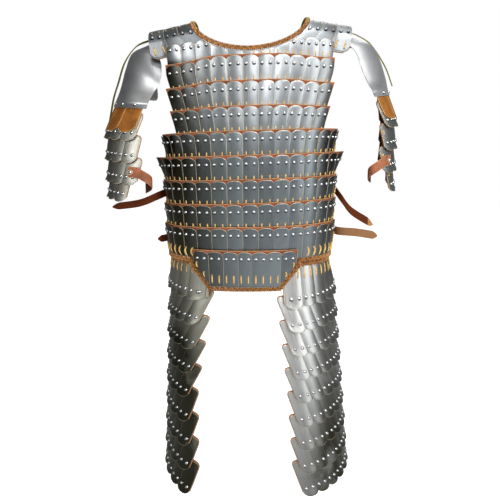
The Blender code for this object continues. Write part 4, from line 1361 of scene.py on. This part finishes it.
def build_side_straps():
    """The side straps: out from under the torso's side along its section, then through their free points."""
    for name, (row, z, free) in SIDE_STRAPS.items():
        side = np.sign(free[0][0])
        angle = np.radians(SIDE_STRAP_ROOT)
        stand = SLOPE * (z + SIDE_STRAP_WIDTH / 2 - row_top(row) + ROW_HEIGHT) + WALL + CROWN + 2 * GAP
        start = section(angle, np.full(2, z), stand, 1) * (side, 1, 1)
        path = np.concatenate([start, free])
        width = tapered(SIDE_STRAP_WIDTH / 2, len(path), SIDE_STRAP_END)
        if len(free) > 2:
            point = (1 - SIDE_STRAP_POINT) * path[-2] + SIDE_STRAP_POINT * path[-1]
            path = np.insert(path, -1, point, axis=0)
            width = np.insert(width, -1, width[0], axis=0)
        build_strap(f"strap_{name}", path, width * (0, 0, 1), (side, 0, 0),
                    TAN if name == "right_lower" else OXBLOOD, 40,
                    STRAP_TIP if name == "right_upper" else 1.0)


def limb_over(limb, row, above):
    """A surface over a limb's row, along from its front end and up from its rivets."""
    return lambda s, t, o: slouched(on_row(limb, row, s, -t, above + o))


def build_wrist_loops():
    """A strap along a row to its front end, then half an ellipse inward that sinks evenly. Its rivet has a
    washer."""
    for side, limb in ARMS.items():
        above = SLOPE * WRIST_WIDTH / 2 + GAP
        along = np.array([WRIST_START, WRIST_START / 2, 0.001])
        held = on_row(limb, WRIST_ROW, along, np.full(3, WRIST_DOWN), above)
        onward = unit(held[-1] - held[-2])
        inward = np.cross(onward, (0, 0, 1.0))
        inward *= -np.sign(inward @ (held[-1] - (limb.side * limb.centre_x[0], limb.centre_y, held[-1][2])))
        turn = np.linspace(0, np.pi, 9)[1:, None]
        loop = held[-1] + WRIST_REACH * np.sin(turn) * onward + WRIST_DEPTH / 2 * (1 - np.cos(turn)) * inward
        loop = loop - WRIST_DROP * turn / np.pi * (0, 0, 1)
        build_strap(f"wrist_loop_{side}", np.concatenate([held, loop]), (0, 0, WRIST_WIDTH / 2), -inward,
                    LOOP_LEATHER, 50)
        face = limb_over(limb, WRIST_ROW, above + STRAP)
        place = (face, np.array([WRIST_RIVET]), -WRIST_DOWN)
        out, *size = WASHER_SIZE
        build_rivets(f"wrist_loop_{side}_washer", [(*place, out, 1.0)], *size, WASHER)
        out, size = WRIST_RIVET_SIZE
        build_rivets(f"wrist_loop_{side}_rivet", [(*place, out, 1.0)], size)


def build_elbow_flaps():
    """A leather flap of rounded lobes under each spaulder, with a groove between the lobes."""
    for side, limb in ARMS.items():
        along = edged(ELBOW_START, ELBOW_START + ELBOW_LOBES * ELBOW_LOBE, 120)
        part = (along - ELBOW_START) / ELBOW_LOBE % 1
        part[-1] = 1.0
        notch = ELBOW_NOTCH * np.abs(2 * part - 1) ** 2.6
        top, bottom = ELBOW_EDGES
        down = top + (bottom - notch - top)[:, None] * edged_shares(7)
        grid = along[:, None] + 0 * down
        seam, groove = (np.exp(-((np.minimum(part, 1 - part) / width) ** 2))[:, None]
                        for width in ELBOW_LINES)
        inner, outer = (slouched(on_row(limb, 0, grid, down, 2 * GAP + thick))
                        for thick in (0.0, STRAP - ELBOW_GROOVE * groove))
        build_leather(f"elbow_flap_{side}_leather", f"elbow_flap_{side}", inner, outer, TAN,
                      marks=seam + 0 * down)


def spaulder_grid(side, limb, offset):
    """Arcs that lean less and less, from under the yoke down to the elbow, as in the frame."""
    grid = []
    for left_x, right_x, z, tilt, radius, centre_y, *ends in SPAULDER:
        x, (front, back) = (left_x, ends[:2]) if side == "left" else (right_x, ends[2:])
        out = np.array([np.cos(np.radians(tilt)), 0, np.sin(np.radians(tilt))])
        angle = np.radians(np.linspace(front, back, ARC_POINTS))[:, None]
        radial = np.sin(angle) * out - np.cos(angle) * (0, 1, 0)
        centre = np.array([x, centre_y, z]) - radius * out
        grid.append((centre + (radius + offset) * radial) * (limb.side, 1, 1))
    along = np.linspace(SPAULDER_LAST_FROM, SPAULDER_LENGTH[side], ARC_POINTS)
    for down in SPAULDER_LAST:
        grid.append(on_row(limb, 0, along, np.full_like(along, down), STRAP + 5 * GAP + offset))
    return np.stack(grid)


def smooth_grid(grid, rows, columns):
    """A finer grid on the smooth surface through a coarse one, with a row close to each edge."""
    fine = spline(grid, rows)
    return np.swapaxes(spline(np.swapaxes(fine, 0, 1), columns), 0, 1)


def build_spaulders():
    """One smooth sheet of steel on each arm, through the frame's arcs, and its rivets."""
    for side, limb in ARMS.items():
        inner, outer = (slouched(smooth_grid(spaulder_grid(side, limb, offset), *SPAULDER_GRID))
                        for offset in (0.0, STEEL))
        points, faces = shell(inner, outer)
        metres = (np.linspace(0, size, count) for size, count in zip(SPAULDER_CUT, SPAULDER_GRID))
        u, v = np.meshgrid(*metres, indexing="ij")
        obj = piece(f"spaulder_{side}_plate", points, faces, POLISHED, f"spaulder_{side}",
                    twice(np.stack([u, v], -1)), rim=twice(edge_mask(inner.shape[:2])))
        obj.data.set_sharp_from_angle(angle=SPAULDER_SHARP)
        face = limb_over(limb, 0, STRAP + 5 * GAP + STEEL)
        spots = (face, np.array(SPAULDER_RIVETS[side]), SPAULDER_RIVETS_UP - SPAULDER_LAST[1], 0.0, 1.0)
        build_rivets(f"spaulder_{side}_rivets", [spots], SPAULDER_RIVET_SIZE)


build_torso()
build_flap()
build_limbs()
build_yokes()
build_neck_braid()
build_hem_braid()
build_leg_braids()
build_arm_straps()
build_side_straps()
build_elbow_flaps()
build_wrist_loops()
build_spaulders()


# Stage

FLOOR = -1.132
WHITE = 1.0  # brightness of what lies behind the armour
floor_mesh = bpy.data.meshes.new("floor")
floor_mesh.from_pydata([(-6, -6, FLOOR), (6, -6, FLOOR), (6, 6, FLOOR), (-6, 6, FLOOR)], [], [(0, 1, 2, 3)])
floor_finish = Finish("pale_floor")
lit = floor_finish.mix(floor_finish.node("ShaderNodeLightPath", output="Is Camera Ray"), (0, 0, 0), (1, 1, 1))
floor_finish.shader.inputs["Emission Strength"].default_value = WHITE
floor_mesh.materials.append(floor_finish.done(base_color=(0.6, 0.6, 0.59), roughness=0.9, emission_color=lit))
floor = bpy.data.objects.new("floor", floor_mesh)
bpy.context.scene.collection.objects.link(floor)


def softbox(name, location, target, size, power):
    """A square area light that faces a point."""
    light = bpy.data.lights.new(name, "AREA")
    light.energy = power
    light.shape = "RECTANGLE"
    light.size, light.size_y = size
    obj = bpy.data.objects.new(name, light)
    obj.location = location
    obj.rotation_euler = (Vector(target) - Vector(location)).to_track_quat("-Z", "Y").to_euler()
    bpy.context.scene.collection.objects.link(obj)


softbox("strip", (0.24, -2.3, -0.05), (0.05, 0, -0.15), (0.35, 1.0), 7)
softbox("key", (1.1, -2.0, 0.9), (0, 0, -0.2), (1.0, 1.0), 48)
softbox("right", (2.2, -1.3, -0.3), (0.1, 0, -0.6), (0.9, 1.8), 12)
softbox("top", (0.3, -0.3, 2.1), (0, 0, -0.3), (1.6, 1.6), 20)
softbox("left", (-1.7, -2.0, 0.2), (-0.2, 0, -0.1), (1.0, 1.2), 18)
softbox("back", (0.5, 2.4, 1.6), (0, 0, -0.4), (1.5, 1.5), 25)

# White behind the armour, and a dim room round it that is darker on the viewer's left
world = bpy.data.worlds.new("studio")
room = Finish("studio", world)
seen = room.node("ShaderNodeLightPath", output="Is Camera Ray")
around = room.node("ShaderNodeSeparateXYZ", None, {0: room.node("ShaderNodeTexCoord", output="Generated")})
glow = around.rise(-0.7, 0.9) * 0.22 + 0.06
room.done(color=(1.0, 1.0, 1.0), strength=glow + seen * (WHITE - glow))
bpy.context.scene.world = world

camera = bpy.data.cameras.new("camera")
camera.lens = 33.62
camera.sensor_width = 36
camera.shift_y = -0.08
view = bpy.data.objects.new("camera", camera)
view.location = (0, -1.1524, -0.2893)
view.rotation_euler = (np.radians(82.7), 0, 0)
bpy.context.scene.collection.objects.link(view)
bpy.context.scene.camera = view
bpy.context.scene.view_settings.view_transform = "Standard"
